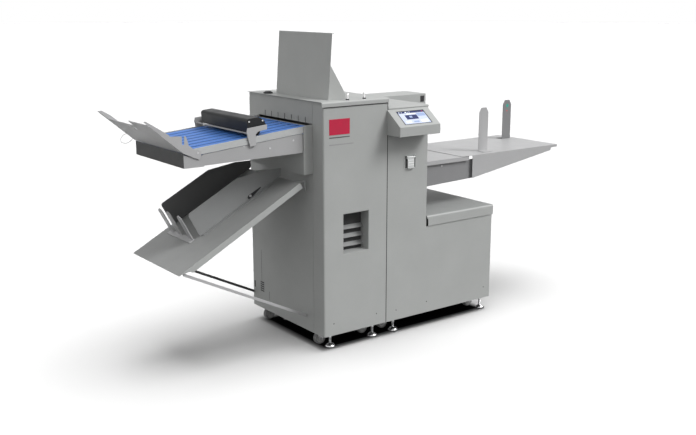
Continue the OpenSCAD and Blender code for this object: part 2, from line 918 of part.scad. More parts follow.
module drive_roller() {
    color(steel) place() belt_roller(drive_u, rail_y0, rail_y1);
}

// One belt: two straight runs joined by half rings around the rollers
module one_belt(y) {
    ri = belt_roller_r + clear;
    ro = ri + belt_t;
    translate([0, y + belt_w / 2, 0]) rotate([90, 0, 0]) linear_extrude(belt_w) {
        for (side = [0, 1]) {
            u = side == 0 ? tail_u : drive_u;
            difference() {
                translate([u, roller_v]) circle(r = ro);
                translate([u, roller_v]) circle(r = ri);
                translate([side == 0 ? u : u - 2 * ro, roller_v - 2 * ro]) square([2 * ro, 4 * ro]);
            }
        }
        for (v = [ri, -ro]) {
            translate([tail_u, roller_v + v]) square([drive_u - tail_u, belt_t]);
        }
    }
}

module conveyor_belts() {
    color([0.25, 0.47, 0.80]) place() on_belt_slope() for (i = [0 : belt_count - 1]) {
        one_belt(y_mid - 3 + (i - (belt_count - 1) / 2) * belt_pitch);
    }
}

module catch_tray() {
    fx = catch_floor_x;
    fz = catch_floor_z;
    ca = cos(catch_angle);
    sa = sin(catch_angle);
    near = [[-534, 898], [-523, 924], [-530, 935], [-557, 941], [-578, 957], [-588, 992],
        [-592, 995], [-596, 995], [-597, 962], [-606, 962], [-607, 995], [-655, 998],
        [-662, 1006], [fx - (catch_tongue - 8) * ca, fz + (catch_tongue - 8) * sa + 9],
        [fx - catch_tongue * ca, fz + catch_tongue * sa], [fx, fz], [-560, 908]];
    far = [[-534, 898], [-523, 924], [-557, 941], [-600, 972],
        [fx - 90 * ca + 12, fz + 90 * sa + 18], [fx - 150 * ca + 12, fz + 150 * sa + 16],
        [fx - (catch_tongue - 12) * ca + 8, fz + (catch_tongue - 12) * sa + 10],
        [fx - catch_tongue * ca, fz + catch_tongue * sa], [fx, fz], [-560, 908]];
    color(paint_neutral) place() difference() {
        union() {
            slab(near, wall_y0, wall_y0 + sheet);
            slab(far, wall_y1, wall_y1 + sheet);
            // Sloping floor between the walls, with a narrow strip on at the far side
            translate([fx, 0, fz]) rotate([0, catch_angle, 0]) {
                span([-catch_l, wall_y0 + sheet, 0.5], [0, wall_y1, sheet + 0.5]);
                span([-catch_tongue + 5, wall_y1 - 13, 0.5], [-catch_l + 1, wall_y1, sheet + 0.5]);
            }
        }
        // Cut-out in the floor's upper edge and two holes below it
        translate([fx, 0, fz]) rotate([0, catch_angle, 0]) {
            span([-catch_tongue, 255, -10], [-152, wall_y1 - 13, 12]);
            span([-146, 308, -10], [-132, 322, 12]);
            span([-133, 276, -10], [-119, 290, 12]);
            span([-97, 440, -10], [-90, 458, 12]);
        }
        rod_y(catch_pivot_x, catch_pivot_z, axle_r + run_fit, wall_y0 - 1, wall_y1 + sheet + 1);
    }
}

module pinch_profile(grow) {
    u0 = pinch_u0 + grow;
    u1 = pinch_u1 - grow;
    v0 = grow > 0 ? 18 : 19;
    v1 = 73 - grow;
    r = 12;
    translate([u0 + r, v1 - r]) circle(r = r);
    polygon([[u0, v0], [u1, v0], [u1, 34], [u1 - 8, 57 - grow / 2], [u1 - 32, v1], [u0 + r, v1],
        [u0 + r, v1 - r], [u0, v1 - r]]);
}

module pinch_housing() {
    wall = 3;
    color(black) place() on_belt_slope() {
        difference() {
            union() {
                translate([0, pinch_y1, 0]) rotate([90, 0, 0]) linear_extrude(pinch_y1 - pinch_y0)
                    pinch_profile(0);
                // Tabs that carry the wheels' shaft
                for (y = [pinch_y0, pinch_y1 - wall]) {
                    span([pinch_u - 9, y, 7], [pinch_u + 9, y + wall, 20]);
                }
            }
            translate([0, pinch_y1 - wall, 0]) rotate([90, 0, 0])
                linear_extrude(pinch_y1 - pinch_y0 - 2 * wall) pinch_profile(wall);
            rod_y(pinch_u, pinch_v, 4 + run_fit, pinch_y0 - 1, pinch_y1 + 1);
        }
    }
}

// Hooks at both ends, joined by a strip along the housing's lower edge
module pinch_brackets() {
    hook = [[pinch_u0 - 10, 39], [pinch_u1 - 6, 40], [pinch_u1 - 7, 20], [pinch_u0 + 38, 18],
        [pinch_u0 + 26, 8], [pinch_u0 + 23, -36], [pinch_u0 - 5, -36], [pinch_u0 - 11, -6],
        [pinch_u0 - 15, 24]];
    near = rail_y0 - 7;
    far = rail_y1 + 3;
    color([0.78, 0.78, 0.77]) place() on_belt_slope() {
        slab(hook, near, near + 4);
        slab(hook, far, far + 4);
        span([pinch_u0 + 20, near + 4, 24], [pinch_u1 - 10, pinch_y0 - 0.1, 36]);
        span([pinch_u0 + 20, pinch_y1 + 0.1, 24], [pinch_u1 - 10, far, 36]);
        span([pinch_u0 - 5, near + 4, 13], [pinch_u0 - 1, far, 19]);
    }
}

module pinch_wheels() {
    color(rubber) place() on_belt_slope() {
        rod_y(pinch_u, pinch_v, 4, pinch_y0, pinch_y1);
        for (i = [0 : belt_count - 2]) {
            y = y_mid - 3 + (i - (belt_count - 1) / 2) * belt_pitch;
            rod_y(pinch_u, pinch_v, pinch_wheel_r, y - 9, y + 9);
        }
    }
}

// ---------------------------------------------------------------- folded-sheet tray

// Side wall of the tray: a bent flange, cut back at its lower end
module tray_flange(y) {
    translate([0, y + sheet, 0]) rotate([90, 0, 0]) linear_extrude(sheet)
        polygon([[8, -sheet], [tray_l, -sheet], [tray_l, -26], [56, -26], [48, -14]]);
}

module fold_tray() {
    color(paint) place() {
        on_tray_slope() {
            span([0, tray_y0, -sheet], [tray_l, tray_y1, 0]);
            for (y = [tray_y0, tray_y1 - sheet]) {
                tray_flange(y);
            }
        }
        // Hooks that hang the tray on the cabinet
        for (y = [130, 450]) {
            slab([[-120, 705], [-70, 738], [-12, 740], [-4, 700], [-0.1, 700], [-0.1, 748],
                [-62, 748], [-120, 716]], y, y + 4);
        }
    }
}

// Point p along the tray's floor and h above it
function on_tray(p, h) = [tray_x0 + p * cos(tray_slope) - h * sin(tray_slope),
    tray_z0 + p * sin(tray_slope) + h * cos(tray_slope)];

// Upright guide plate, rounded at its upper left corner, with a foot on the tray's floor
module tray_guide(y, foot_dir) {
    p0 = 210;
    p1 = 600;
    h = guide_h;
    r = 12;
    corner = [for (a = [90 : -15 : 0]) on_tray(p0 + r - r * cos(a), h - r + r * sin(a))];
    slab(concat([on_tray(p0, 0.2), on_tray(664, 0.2), [-52, 789], [-134, 789], on_tray(475, h)],
        corner), y, y + sheet);
    on_tray_slope() span([p0 + 10, foot_dir < 0 ? y - 20 : y + sheet, 0.4],
        [p1, foot_dir < 0 ? y : y + sheet + 8, 0.4 + sheet]);
}

module near_guide() {
    color(paint) place() tray_guide(near_guide_y, -1);
}

module far_guide() {
    color(paint_dark) place() tray_guide(far_guide_y, 1);
}

module stop_fingers() {
    color(paint_neutral) place() on_tray_slope() {
        span([finger_p - 22, finger_ys[0] - finger_w / 2, 0.4],
            [finger_p + 4, finger_ys[2] + finger_w / 2, 3.4]);
        for (y = finger_ys) {
            span([finger_p - 4, y - finger_w / 2, 3.4],
                [finger_p, y + finger_w / 2, finger_l - finger_w / 2]);
            translate([finger_p, y, finger_l - finger_w / 2]) rotate([0, -90, 0])
                cylinder(r = finger_w / 2, h = 4);
        }
    }
}

// Flat bars from the tray's lower end to the cabinet, splayed towards the back
module tray_struts() {
    left_x = -616;
    end_z = [444, 137];
    bar_h = 13;
    color(steel) place() for (ends = [[88, 131], [504, 578]]) {
        run = norm([-left_x - 2, ends[1] - ends[0]]);
        translate([left_x, ends[0], 0])
            rotate([0, 0, atan2(ends[1] - ends[0], -left_x - 2)])
                slab([[0, end_z[0] - bar_h / 2], [run, end_z[1] - bar_h / 2],
                    [run, end_z[1] + bar_h / 2], [0, end_z[0] + bar_h / 2]], 0, 4);
    }
}

// ---------------------------------------------------------------- feet, castors, screws

module levelling_feet() {
    color(steel) place() for (spot = foot_spots) {
        translate([spot[0], spot[1], 0]) {
            cylinder(r = pad_r, h = 6);
            translate([0, 0, 6]) cylinder(r1 = pad_r, r2 = 9, h = 9, $fn = 48);
            translate([0, 0, 15]) cylinder(r = 6, h = base_z - 15);
            translate([0, 0, base_z - 22]) cylinder(r = 11, h = 8, $fn = 6);
        }
    }
}

module castor_forks() {
    cheek = 3;
    side = castor_w / 2 + 2;
    color(steel) place() for (x = castor_xs, y = castor_ys) {
        translate([x, y, 0]) difference() {
            union() {
                span([-26, -26, base_z - 6], [26, 26, base_z]);
                for (s = [-side - cheek, side]) {
                    slab([[-9, castor_z - 9], [9, castor_z - 9], [20, base_z - 6],
                        [-20, base_z - 6]], s, s + cheek);
                }
                span([-20, -side, base_z - 10], [20, side, base_z - 6]);
            }
            rod_y(0, castor_z, castor_axle_r + run_fit, -30, 30);
        }
    }
}

// Two coaxial wheels, front and rear, on one axle line
module wheel_pair(x) {
    side = castor_w / 2 + 2 + 3;
    for (y = castor_ys) {
        rod_y(x, castor_z, castor_r, y - castor_w / 2, y + castor_w / 2);
        rod_y(x, castor_z, castor_axle_r, y - side, y + side);
    }
}

module castor_wheels_1() {
    color(rubber) place() wheel_pair(castor_xs[0]);
}

module castor_wheels_2() {
    color(rubber) place() wheel_pair(castor_xs[1]);
}

module castor_wheels_3() {
    color(rubber) place() wheel_pair(castor_xs[2]);
}

module castor_wheels_4() {
    color(rubber) place() wheel_pair(castor_xs[3]);
}

// Cap screws of the conveyor's side panels
module panel_screws() {
    color(steel) place() for (p = [[-210, 912], [-96, 934]], s = [0, 1]) {
        y = s == 0 ? path_y0 - 4.8 : path_y1 + 3.2;
        rod_y(p[0], p[1], 4, y, y + 1.6);
    }
}

main_frame();
main_front_panel();
main_rear_panel();
exit_end_panel();
exit_housing();
vent_louvres();
badge();
drive_motor();
motor_pulley();
drive_belt();
control_box();
infeed_roller_top();
infeed_roller_bottom();
crease_blade();
fold_knife();
fold_roller_left();
fold_roller_right();
top_lid();
sheet_tower();
lid_pegs();
gap_knob();
feeder_frame();
feeder_front_panel();
feeder_rear_cover();
feeder_top_cover();
pump_bay_cover();
console_housing();
touch_screen();
latch_plate();
latch_paddle();
rear_housing();
rocker_switch();
vacuum_pump();
suction_drum();
mains_inlet();
feed_table();
table_extension();
front_side_guide();
rear_side_guide();
conveyor_frame();
conveyor_rails();
conveyor_belts();
drive_roller();
tail_roller();
catch_tray();
pinch_housing();
pinch_brackets();
pinch_wheels();
fold_tray();
near_guide();
far_guide();
stop_fingers();
tray_struts();
levelling_feet();
castor_forks();
castor_wheels_1();
castor_wheels_2();
castor_wheels_3();
castor_wheels_4();
panel_screws();
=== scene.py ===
"""Looks of the sheet creasing and folding machine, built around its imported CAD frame."""

import json
import math

import bmesh
import bpy
from mathutils import Matrix, Vector


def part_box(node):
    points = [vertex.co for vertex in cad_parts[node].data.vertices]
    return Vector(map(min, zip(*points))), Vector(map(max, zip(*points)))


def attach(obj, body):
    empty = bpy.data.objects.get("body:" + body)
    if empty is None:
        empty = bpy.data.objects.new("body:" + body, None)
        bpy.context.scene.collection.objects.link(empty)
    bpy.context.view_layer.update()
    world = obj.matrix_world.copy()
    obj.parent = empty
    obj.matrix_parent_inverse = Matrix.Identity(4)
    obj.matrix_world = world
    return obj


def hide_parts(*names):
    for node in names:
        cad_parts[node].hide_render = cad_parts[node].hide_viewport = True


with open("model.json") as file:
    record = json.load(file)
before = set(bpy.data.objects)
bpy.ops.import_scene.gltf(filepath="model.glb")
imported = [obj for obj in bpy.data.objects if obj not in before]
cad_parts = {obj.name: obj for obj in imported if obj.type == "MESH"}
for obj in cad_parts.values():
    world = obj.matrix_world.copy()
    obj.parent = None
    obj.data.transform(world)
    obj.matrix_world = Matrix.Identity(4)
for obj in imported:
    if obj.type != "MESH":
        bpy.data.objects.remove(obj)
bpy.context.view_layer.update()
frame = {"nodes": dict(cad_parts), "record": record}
nodes = frame["nodes"]
body_of = {n: b for b, names in frame["record"]["behaviour"]["bodies"].items() for n in names}
slot_of = {s["node"]: s["material_slot"] for s in frame["record"]["subparts"]}

MM = 0.001
# Slope of the conveyor, which the pinch unit on it shares
SLOPE = math.radians(5.2)
# Lower left corner of the main front panel: the machine's own zero in X and Y
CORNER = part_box("main_front_panel")[0]


def at(x, y, z):
    """A point in the machine's own millimetres: X from the left face, Y from the front, Z from the
    floor."""
    return Vector((CORNER.x + x * MM, CORNER.y + y * MM, z * MM))


# ---------------------------------------------------------------- materials

def new_material(name):
    mat = bpy.data.materials.new(name)
    mat.use_nodes = True
    tree = mat.node_tree
    return mat, tree, tree.nodes["Principled BSDF"]


def add_node(tree, kind, **inputs):
    node = tree.nodes.new(kind)
    for key, value in inputs.items():
        node.inputs[key.replace("_", " ")].default_value = value
    return node


def noise(tree, coords, scale, detail=3.0, roughness=0.5):
    node = add_node(tree, "ShaderNodeTexNoise", Scale=scale, Detail=detail, Roughness=roughness)
    tree.links.new(coords, node.inputs["Vector"])
    return node.outputs["Fac"]


def remap(tree, value, low, high, out_low, out_high):
    node = add_node(tree, "ShaderNodeMapRange")
    tree.links.new(value, node.inputs["Value"])
    for key, number in (("From Min", low), ("From Max", high), ("To Min", out_low), ("To Max", out_high)):
        node.inputs[key].default_value = number
    return node.outputs["Result"]


def scaled(tree, coords, factors):
    node = tree.nodes.new("ShaderNodeMapping")
    node.inputs["Scale"].default_value = factors
    tree.links.new(coords, node.inputs["Vector"])
    return node.outputs["Vector"]


def object_coords(tree):
    return tree.nodes.new("ShaderNodeTexCoord").outputs["Object"]


def tint(tree, factor, color_a, color_b):
    node = tree.nodes.new("ShaderNodeMix")
    node.data_type = "RGBA"
    tree.links.new(factor, node.inputs["Factor"])
    node.inputs["A"].default_value = (*color_a, 1)
    node.inputs["B"].default_value = (*color_b, 1)
    return node.outputs["Result"]


def multiplied(tree, amount, color, value):
    """A colour darkened by a pattern, to the given amount."""
    node = tree.nodes.new("ShaderNodeMix")
    node.data_type = "RGBA"
    node.blend_type = "MULTIPLY"
    node.inputs["Factor"].default_value = amount
    tree.links.new(color, node.inputs["A"])
    tree.links.new(value, node.inputs["B"])
    return node.outputs["Result"]


def product(tree, first, second):
    node = tree.nodes.new("ShaderNodeMath")
    node.operation = "MULTIPLY"
    tree.links.new(first, node.inputs[0])
    tree.links.new(second, node.inputs[1])
    return node.outputs["Value"]


def shade(color, factor):
    return tuple(min(1.0, c * factor) for c in color)


def bump(tree, bsdf, height, strength, distance):
    node = add_node(tree, "ShaderNodeBump", Strength=strength, Distance=distance)
    tree.links.new(height, node.inputs["Height"])
    tree.links.new(node.outputs["Normal"], bsdf.inputs["Normal"])


def powder_coat(name, color, roughness=0.46, grain=950.0, specular=0.35):
    """Powder coating: orange-peel bump, faint clouding of the colour, slightly uneven gloss."""
    mat, tree, bsdf = new_material(name)
    coords = object_coords(tree)
    cloud = noise(tree, coords, 5.0, 4.0, 0.6)
    speck = noise(tree, coords, grain * 0.6, 2.0)
    wide = tint(tree, remap(tree, cloud, 0.3, 0.7, 0, 1), shade(color, 0.965), shade(color, 1.035))
    tree.links.new(multiplied(tree, 0.10, wide, speck), bsdf.inputs["Base Color"])
    smear = noise(tree, coords, 14.0, 5.0, 0.65)
    tree.links.new(remap(tree, smear, 0.3, 0.7, roughness - 0.05, roughness + 0.06),
                   bsdf.inputs["Roughness"])
    bsdf.inputs["Specular IOR Level"].default_value = specular
    bump(tree, bsdf, noise(tree, coords, grain, 2.0), 0.10, 0.0004)
    return mat


def brushed(name, color, along="x", roughness=0.32, metallic=1.0):
    """Metal with fine lines along one axis and a little staining."""
    mat, tree, bsdf = new_material(name)
    coords = object_coords(tree)
    stretch = {"x": (12, 900, 900), "y": (900, 12, 900), "z": (900, 900, 12)}[along]
    lines = noise(tree, scaled(tree, coords, stretch), 1.0, 3.0, 0.6)
    stain = noise(tree, coords, 22.0, 4.0, 0.6)
    bsdf.inputs["Metallic"].default_value = metallic
    tree.links.new(tint(tree, stain, shade(color, 0.90), shade(color, 1.05)), bsdf.inputs["Base Color"])
    tree.links.new(remap(tree, lines, 0.25, 0.75, roughness - 0.08, roughness + 0.12),
                   bsdf.inputs["Roughness"])
    bump(tree, bsdf, lines, 0.08, 0.0002)
    return mat


def plated(name, color, roughness=0.16):
    mat, tree, bsdf = new_material(name)
    coords = object_coords(tree)
    bsdf.inputs["Metallic"].default_value = 1.0
    stain = noise(tree, coords, 60.0, 4.0, 0.6)
    tree.links.new(tint(tree, stain, shade(color, 0.86), color), bsdf.inputs["Base Color"])
    tree.links.new(remap(tree, stain, 0.3, 0.7, roughness, roughness + 0.12), bsdf.inputs["Roughness"])
    return mat


def moulded(name, color, roughness=0.5, grain=1400.0, strength=0.12):
    """Moulded plastic or rubber with a fine grain."""
    mat, tree, bsdf = new_material(name)
    coords = object_coords(tree)
    cloud = noise(tree, coords, 30.0, 4.0, 0.6)
    tree.links.new(tint(tree, cloud, shade(color, 0.85), shade(color, 1.18)), bsdf.inputs["Base Color"])
    tree.links.new(remap(tree, cloud, 0.3, 0.7, roughness - 0.06, roughness + 0.08),
                   bsdf.inputs["Roughness"])
    bump(tree, bsdf, noise(tree, coords, grain, 2.0), strength, 0.0003)
    return mat


def belting(name, color):
    """Coated belt fabric: a fine diagonal weave, faint rub marks along the run."""
    mat, tree, bsdf = new_material(name)
    coords = object_coords(tree)
    heights = []
    for turn in (math.radians(45), math.radians(-45)):
        wave = add_node(tree, "ShaderNodeTexWave", Scale=360.0, Distortion=0.4)
        spin = tree.nodes.new("ShaderNodeMapping")
        spin.inputs["Rotation"].default_value = (0, 0, turn)
        tree.links.new(coords, spin.inputs["Vector"])
        tree.links.new(spin.outputs["Vector"], wave.inputs["Vector"])
        heights.append(wave.outputs["Fac"])
    weave = product(tree, *heights)
    rub = noise(tree, scaled(tree, coords, (3, 120, 3)), 1.0, 3.0, 0.6)
    base = tint(tree, remap(tree, rub, 0.3, 0.7, 0, 1), shade(color, 0.88), shade(color, 1.12))
    tree.links.new(multiplied(tree, 0.15, base, weave), bsdf.inputs["Base Color"])
    tree.links.new(remap(tree, rub, 0.3, 0.7, 0.42, 0.58), bsdf.inputs["Roughness"])
    bump(tree, bsdf, weave, 0.25, 0.0003)
    return mat


def glowing(name, color, strength):
    """A lit area of the display, with a faint fine grain."""
    mat, tree, bsdf = new_material(name)
    coords = object_coords(tree)
    grain = noise(tree, coords, 2400.0, 1.0)
    lit = tint(tree, grain, shade(color, 0.94), color)
    tree.links.new(lit, bsdf.inputs["Base Color"])
    tree.links.new(lit, bsdf.inputs["Emission Color"])
    bsdf.inputs["Emission Strength"].default_value = strength
    bsdf.inputs["Roughness"].default_value = 0.18
    return mat


PAINT = (0.415, 0.425, 0.417)
finish = {
    "body_paint": powder_coat("body_powder_coat", PAINT),
    "frame_paint": powder_coat("frame_powder_coat", (0.16, 0.165, 0.165)),
    "tray_paint": powder_coat("tray_powder_coat", (0.44, 0.44, 0.445), 0.42),
    "guide_paint": powder_coat("guide_powder_coat", (0.27, 0.275, 0.275)),
    "bright_steel": brushed("bright_steel", (0.62, 0.62, 0.63), "x"),
    "roller_steel": brushed("roller_steel", (0.60, 0.60, 0.61), "y", 0.26),
    "chromed": plated("bright_plating", (0.78, 0.78, 0.79)),
    "rail_metal": brushed("satin_aluminium", (0.45, 0.46, 0.46), "x", 0.42, 0.35),
    "belt_blue": belting("belt_fabric", (0.055, 0.195, 0.60)),
    "black_rubber": moulded("black_rubber", (0.022, 0.022, 0.024), 0.66),
    "grey_rubber": moulded("grey_rubber", (0.22, 0.22, 0.22), 0.6),
    "black_plastic": moulded("black_plastic", (0.016, 0.016, 0.018), 0.42),
    "black_paint": powder_coat("black_satin_paint", (0.019, 0.020, 0.022), 0.42, specular=0.18),
    "badge_red": moulded("crimson_label", (0.46, 0.002, 0.040), 0.55, 900.0, 0.03),
    "screen": moulded("display_glass", (0.012, 0.016, 0.03), 0.14, 500.0, 0.01),
    "pump_casting": powder_coat("pump_casting", (0.055, 0.07, 0.10), 0.5, 500.0),
    "box_grey": powder_coat("control_box_paint", (0.26, 0.28, 0.31)),
    "display_pale": glowing("display_pale", (0.50, 0.55, 0.70), 0.24),
    "display_navy": glowing("display_navy", (0.012, 0.022, 0.10), 0.25),
    "display_white": glowing("display_white", (0.74, 0.80, 0.86), 0.24),
    "display_blue": glowing("display_blue", (0.28, 0.36, 0.56), 0.20),
    "display_red": glowing("display_red", (0.55, 0.05, 0.08), 0.28),
    "bezel_grey": moulded("bezel_grey", (0.10, 0.105, 0.11), 0.4),
    "zinc": brushed("zinc_plate", (0.66, 0.665, 0.67), "z", 0.30),
    "bright_white_metal": plated("polished_pin", (0.90, 0.90, 0.90), 0.22),
    "hub_grey": moulded("hub_nylon", (0.42, 0.42, 0.41), 0.45, 900.0),
    "cap_grey": moulded("cap_grey", (0.055, 0.056, 0.06), 0.36, 900.0),
    "pale_print": moulded("pale_print", (0.60, 0.60, 0.60), 0.5),
    "dark_print": moulded("dark_print", (0.085, 0.08, 0.082), 0.5),
    "grey_print": moulded("grey_print", (0.30, 0.30, 0.30), 0.5),
    "soft_shadow": moulded("deep_grey", (0.06, 0.06, 0.06), 0.7),
    "soft_red": moulded("scale_red", (0.55, 0.10, 0.10), 0.5),
    "teal": moulded("teal_dot", (0.01, 0.36, 0.27), 0.4),
    # Painted shade: darker copy of the guide paint for the far guide, shaded by the conveyor
    "far_guide_painted_shade": powder_coat("far_guide_painted_shade_coat", (0.15, 0.152, 0.152)),
    "side_paint": powder_coat("side_powder_coat", (0.40, 0.40, 0.405), 0.42),
    # Painted shade: near-black copy of the paint for the conveyor's end face
    "end_face_painted_shade": powder_coat("end_face_painted_shade_coat", (0.060, 0.061, 0.062), specular=0.15),
    # Painted shade: darker copy of the paint for the fold tray's top, shaded by the conveyor
    "fold_tray_painted_shade": powder_coat("fold_tray_painted_shade_coat", (0.29, 0.295, 0.292)),
    # Painted shade: darker copy of the paint for the table bracket under the lip
    "bracket_painted_shade": powder_coat("bracket_painted_shade_coat", (0.25, 0.25, 0.255)),
    "rear_guide_paint": powder_coat("rear_guide_powder_coat", (0.22, 0.22, 0.225)),
    # Painted shade: darker copy of the paint for the pump bay cover's top
    "cover_top_painted_shade": powder_coat("cover_top_painted_shade_coat", (0.335, 0.345, 0.34)),
    # Painted shade: dark copy of the strut metal for the far strut, shadowed by the tray
    "far_strut_painted_shade": brushed("far_strut_painted_shade", (0.10, 0.10, 0.10), "x", 0.45, 0.2),
    # Painted shade: darker copy of the paint for the recessed louvre blades
    "blade_painted_shade": powder_coat("blade_painted_shade_coat", (0.235, 0.24, 0.238)),
    # Painted shade: near-black blue for the conveyor bed, seen in the gaps between the belts
    "bed_painted_shade": powder_coat("bed_painted_shade_coat", (0.035, 0.060, 0.110)),
    "latch_zinc": brushed("latch_zinc", (0.40, 0.41, 0.405), "z", 0.42),
    "paddle_zinc": brushed("paddle_zinc", (0.50, 0.51, 0.505), "z", 0.40),
    "filter_mat": moulded("filter_mat", (0.045, 0.046, 0.046), 0.9, 700.0, 0.5),
    # Painted shade: near black, for the shade in gaps, recesses and sockets
    "painted_deep_shade": moulded("painted_deep_shade", (0.006, 0.006, 0.006), 0.8),
}

# ---------------------------------------------------------------- making pieces

# Points closer than this, in metres, are one point: for a skin, and for telling solids apart
WELD = 0.00002
FINE_WELD = 0.000001
# Faces that meet at less than this are one flat face, and edges sharper than the others stay sharp
FLAT_ANGLE = math.radians(0.6)
SKIN_SHARP_ANGLE = math.radians(28)
PIECE_SHARP_ANGLE = math.radians(32)


def new_piece(name, mesh, body, slot, look=None):
    piece = bpy.data.objects.new(name, mesh)
    bpy.context.scene.collection.objects.link(piece)
    if not mesh.materials:
        mesh.materials.append(finish[look or slot])
    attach(piece, body)
    return piece


def edge_bevel(piece, width):
    """Rounded edges; the width is in mm."""
    mod = piece.modifiers.new("edge_radius", "BEVEL")
    mod.width = width * MM
    mod.segments = 2
    mod.limit_method = "ANGLE"
    mod.angle_limit = SKIN_SHARP_ANGLE
    mod.harden_normals = True
    mod.use_clamp_overlap = True


def softened(node, width, look=None):
    """The CAD node's own shape with real edge radii, standing for the node."""
    mesh = nodes[node].data.copy()
    mesh.materials.clear()
    bm = bmesh.new()
    bm.from_mesh(mesh)
    bmesh.ops.remove_doubles(bm, verts=bm.verts, dist=WELD)
    bmesh.ops.dissolve_limit(bm, angle_limit=FLAT_ANGLE, verts=bm.verts, edges=bm.edges)
    bm.to_mesh(mesh)
    bm.free()
    for poly in mesh.polygons:
        poly.use_smooth = True
    mesh.set_sharp_from_angle(angle=SKIN_SHARP_ANGLE)
    piece = new_piece(node + "_skin", mesh, body_of[node], slot_of[node], look)
    edge_bevel(piece, width)
    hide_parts(node)
    return piece


# Edge widths in mm of the nodes whose own shape is kept with rounded edges
EDGE_WIDTHS = {
    "main_front_panel": 0.8, "main_rear_panel": 0.6, "exit_end_panel": 0.6, "exit_housing": 0.6,
    "vent_louvres": 0.4, "badge": 0.3, "top_lid": 0.8, "sheet_tower": 0.6,
    "feeder_front_panel": 0.8, "feeder_rear_cover": 0.6, "feeder_top_cover": 0.5,
    "pump_bay_cover": 0.6, "console_housing": 1.6, "touch_screen": 0.6, "latch_plate": 0.5,
    "latch_paddle": 0.8, "rear_housing": 2.0, "mains_inlet": 0.5, "feed_table": 0.6,
    "table_extension": 0.6, "front_side_guide": 0.6, "rear_side_guide": 0.6,
    "conveyor_frame": 0.5, "conveyor_rails": 0.8, "conveyor_belts": 0.3, "catch_tray": 0.6,
    "pinch_housing": 1.2, "pinch_brackets": 0.9, "fold_tray": 0.6, "near_guide": 0.6,
    "far_guide": 0.6, "stop_fingers": 0.8, "tray_struts": 0.8, "rocker_switch": 1.0,
    "drive_motor": 1.0, "control_box": 1.5, "vacuum_pump": 1.5, "castor_forks": 0.8,
    "main_frame": 0.8, "feeder_frame": 0.8, "crease_blade": 0.3, "fold_knife": 0.3,
}
# Nodes that look different from the material of their slot; the far guide's and the fold tray's looks are
# painted shade
SPECIAL_LOOK = {"tray_struts": "tray_paint", "suction_drum": "roller_steel",
                "drive_roller": "roller_steel", "tail_roller": "roller_steel",
                "infeed_roller_bottom": "roller_steel", "far_guide": "far_guide_painted_shade",
                "conveyor_frame": "side_paint", "fold_tray": "fold_tray_painted_shade",
                "rear_side_guide": "rear_guide_paint", "latch_plate": "latch_zinc",
                "latch_paddle": "paddle_zinc"}
CASTOR_WHEELS = [f"castor_wheels_{number}" for number in (1, 2, 3, 4)]
# Nodes that a maker below replaces with finer pieces
DRAWN_AFRESH = {"levelling_feet", "lid_pegs", "gap_knob", *CASTOR_WHEELS}
skins = {}
for name in nodes:
    if name in EDGE_WIDTHS:
        skins[name] = softened(name, EDGE_WIDTHS[name], SPECIAL_LOOK.get(name))
    elif name not in DRAWN_AFRESH:
        nodes[name].data.materials.clear()
        nodes[name].data.materials.append(finish[SPECIAL_LOOK.get(name, slot_of[name])])

# ---------------------------------------------------------------- tools for the fine pieces

# Turns that point the local Z axis along a machine axis
AXES = {"y": Matrix.Rotation(math.radians(-90), 4, "X"),
        "-y": Matrix.Rotation(math.radians(90), 4, "X"),
        "z": Matrix.Identity(4)}


def solids(node):
    """Lowest and highest corner of each separate solid of a CAD node."""
    bm = bmesh.new()
    bm.from_mesh(nodes[node].data)
    bmesh.ops.remove_doubles(bm, verts=bm.verts, dist=FINE_WELD)
    seen, boxes = set(), []
    for start in bm.verts:
        if start in seen:
            continue
        seen.add(start)
        queue, points = [start], []
        while queue:
            vert = queue.pop()
            points.append(nodes[node].matrix_world @ vert.co)
            for edge in vert.link_edges:
                other = edge.other_vert(vert)
                if other not in seen:
                    seen.add(other)
                    queue.append(other)
        boxes.append((Vector(min(p[i] for p in points) for i in range(3)),
                      Vector(max(p[i] for p in points) for i in range(3))))
    bm.free()
    return sorted(boxes, key=lambda b: (round(b[0].x, 3), round(b[0].y, 3)))


def turned(bm, profile, place, segments=48, flutes=0, depth=0.0):
    """Revolve (radius, height) pairs in mm around the local Z axis, then put the result at place.

    Flutes make the radius wave by the given depth."""
    rings = []
    for radius, height in profile:
        if radius == 0:
            rings.append([bm.verts.new(place @ Vector((0, 0, height * MM)))])
            continue
        ring = []
        for i in range(segments):
            a = 2 * math.pi * i / segments
            r = radius + (depth * math.cos(flutes * a) if flutes else 0.0)
            point = Vector((r * math.cos(a) * MM, r * math.sin(a) * MM, height * MM))
            ring.append(bm.verts.new(place @ point))
        rings.append(ring)
    for low, high in zip(rings, rings[1:]):
        for i in range(segments):
            j = (i + 1) % segments
            if len(low) == 1 and len(high) == 1:
                continue
            if len(low) == 1:
                bm.faces.new((low[0], high[j], high[i]))
            elif len(high) == 1:
                bm.faces.new((low[i], low[j], high[0]))
            else:
                bm.faces.new((low[i], low[j], high[j], high[i]))


def block(bm, lo, hi, place=None):
    """Box between two corners, in metres."""
    place = place or Matrix.Identity(4)
    size = [hi[i] - lo[i] for i in range(3)]
    centre = Vector([(hi[i] + lo[i]) / 2 for i in range(3)])
    bmesh.ops.create_cube(bm, size=1.0, matrix=place @ Matrix.Translation(centre)
                          @ Matrix.Diagonal((*size, 1)))


def finish_piece(name, bm, body, slot, look, width=0.0, replaced=None):
    """Turn a finished bmesh into a piece, with edges rounded by width mm if it is given."""
    bmesh.ops.recalc_face_normals(bm, faces=bm.faces)
    mesh = bpy.data.meshes.new(name)
    bm.to_mesh(mesh)
    bm.free()
    for poly in mesh.polygons:
        poly.use_smooth = True
    mesh.set_sharp_from_angle(angle=PIECE_SHARP_ANGLE)
    piece = new_piece(name, mesh, body, slot, look)
    if width:
        edge_bevel(piece, width)
    if replaced:
        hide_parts(replaced)
    return piece


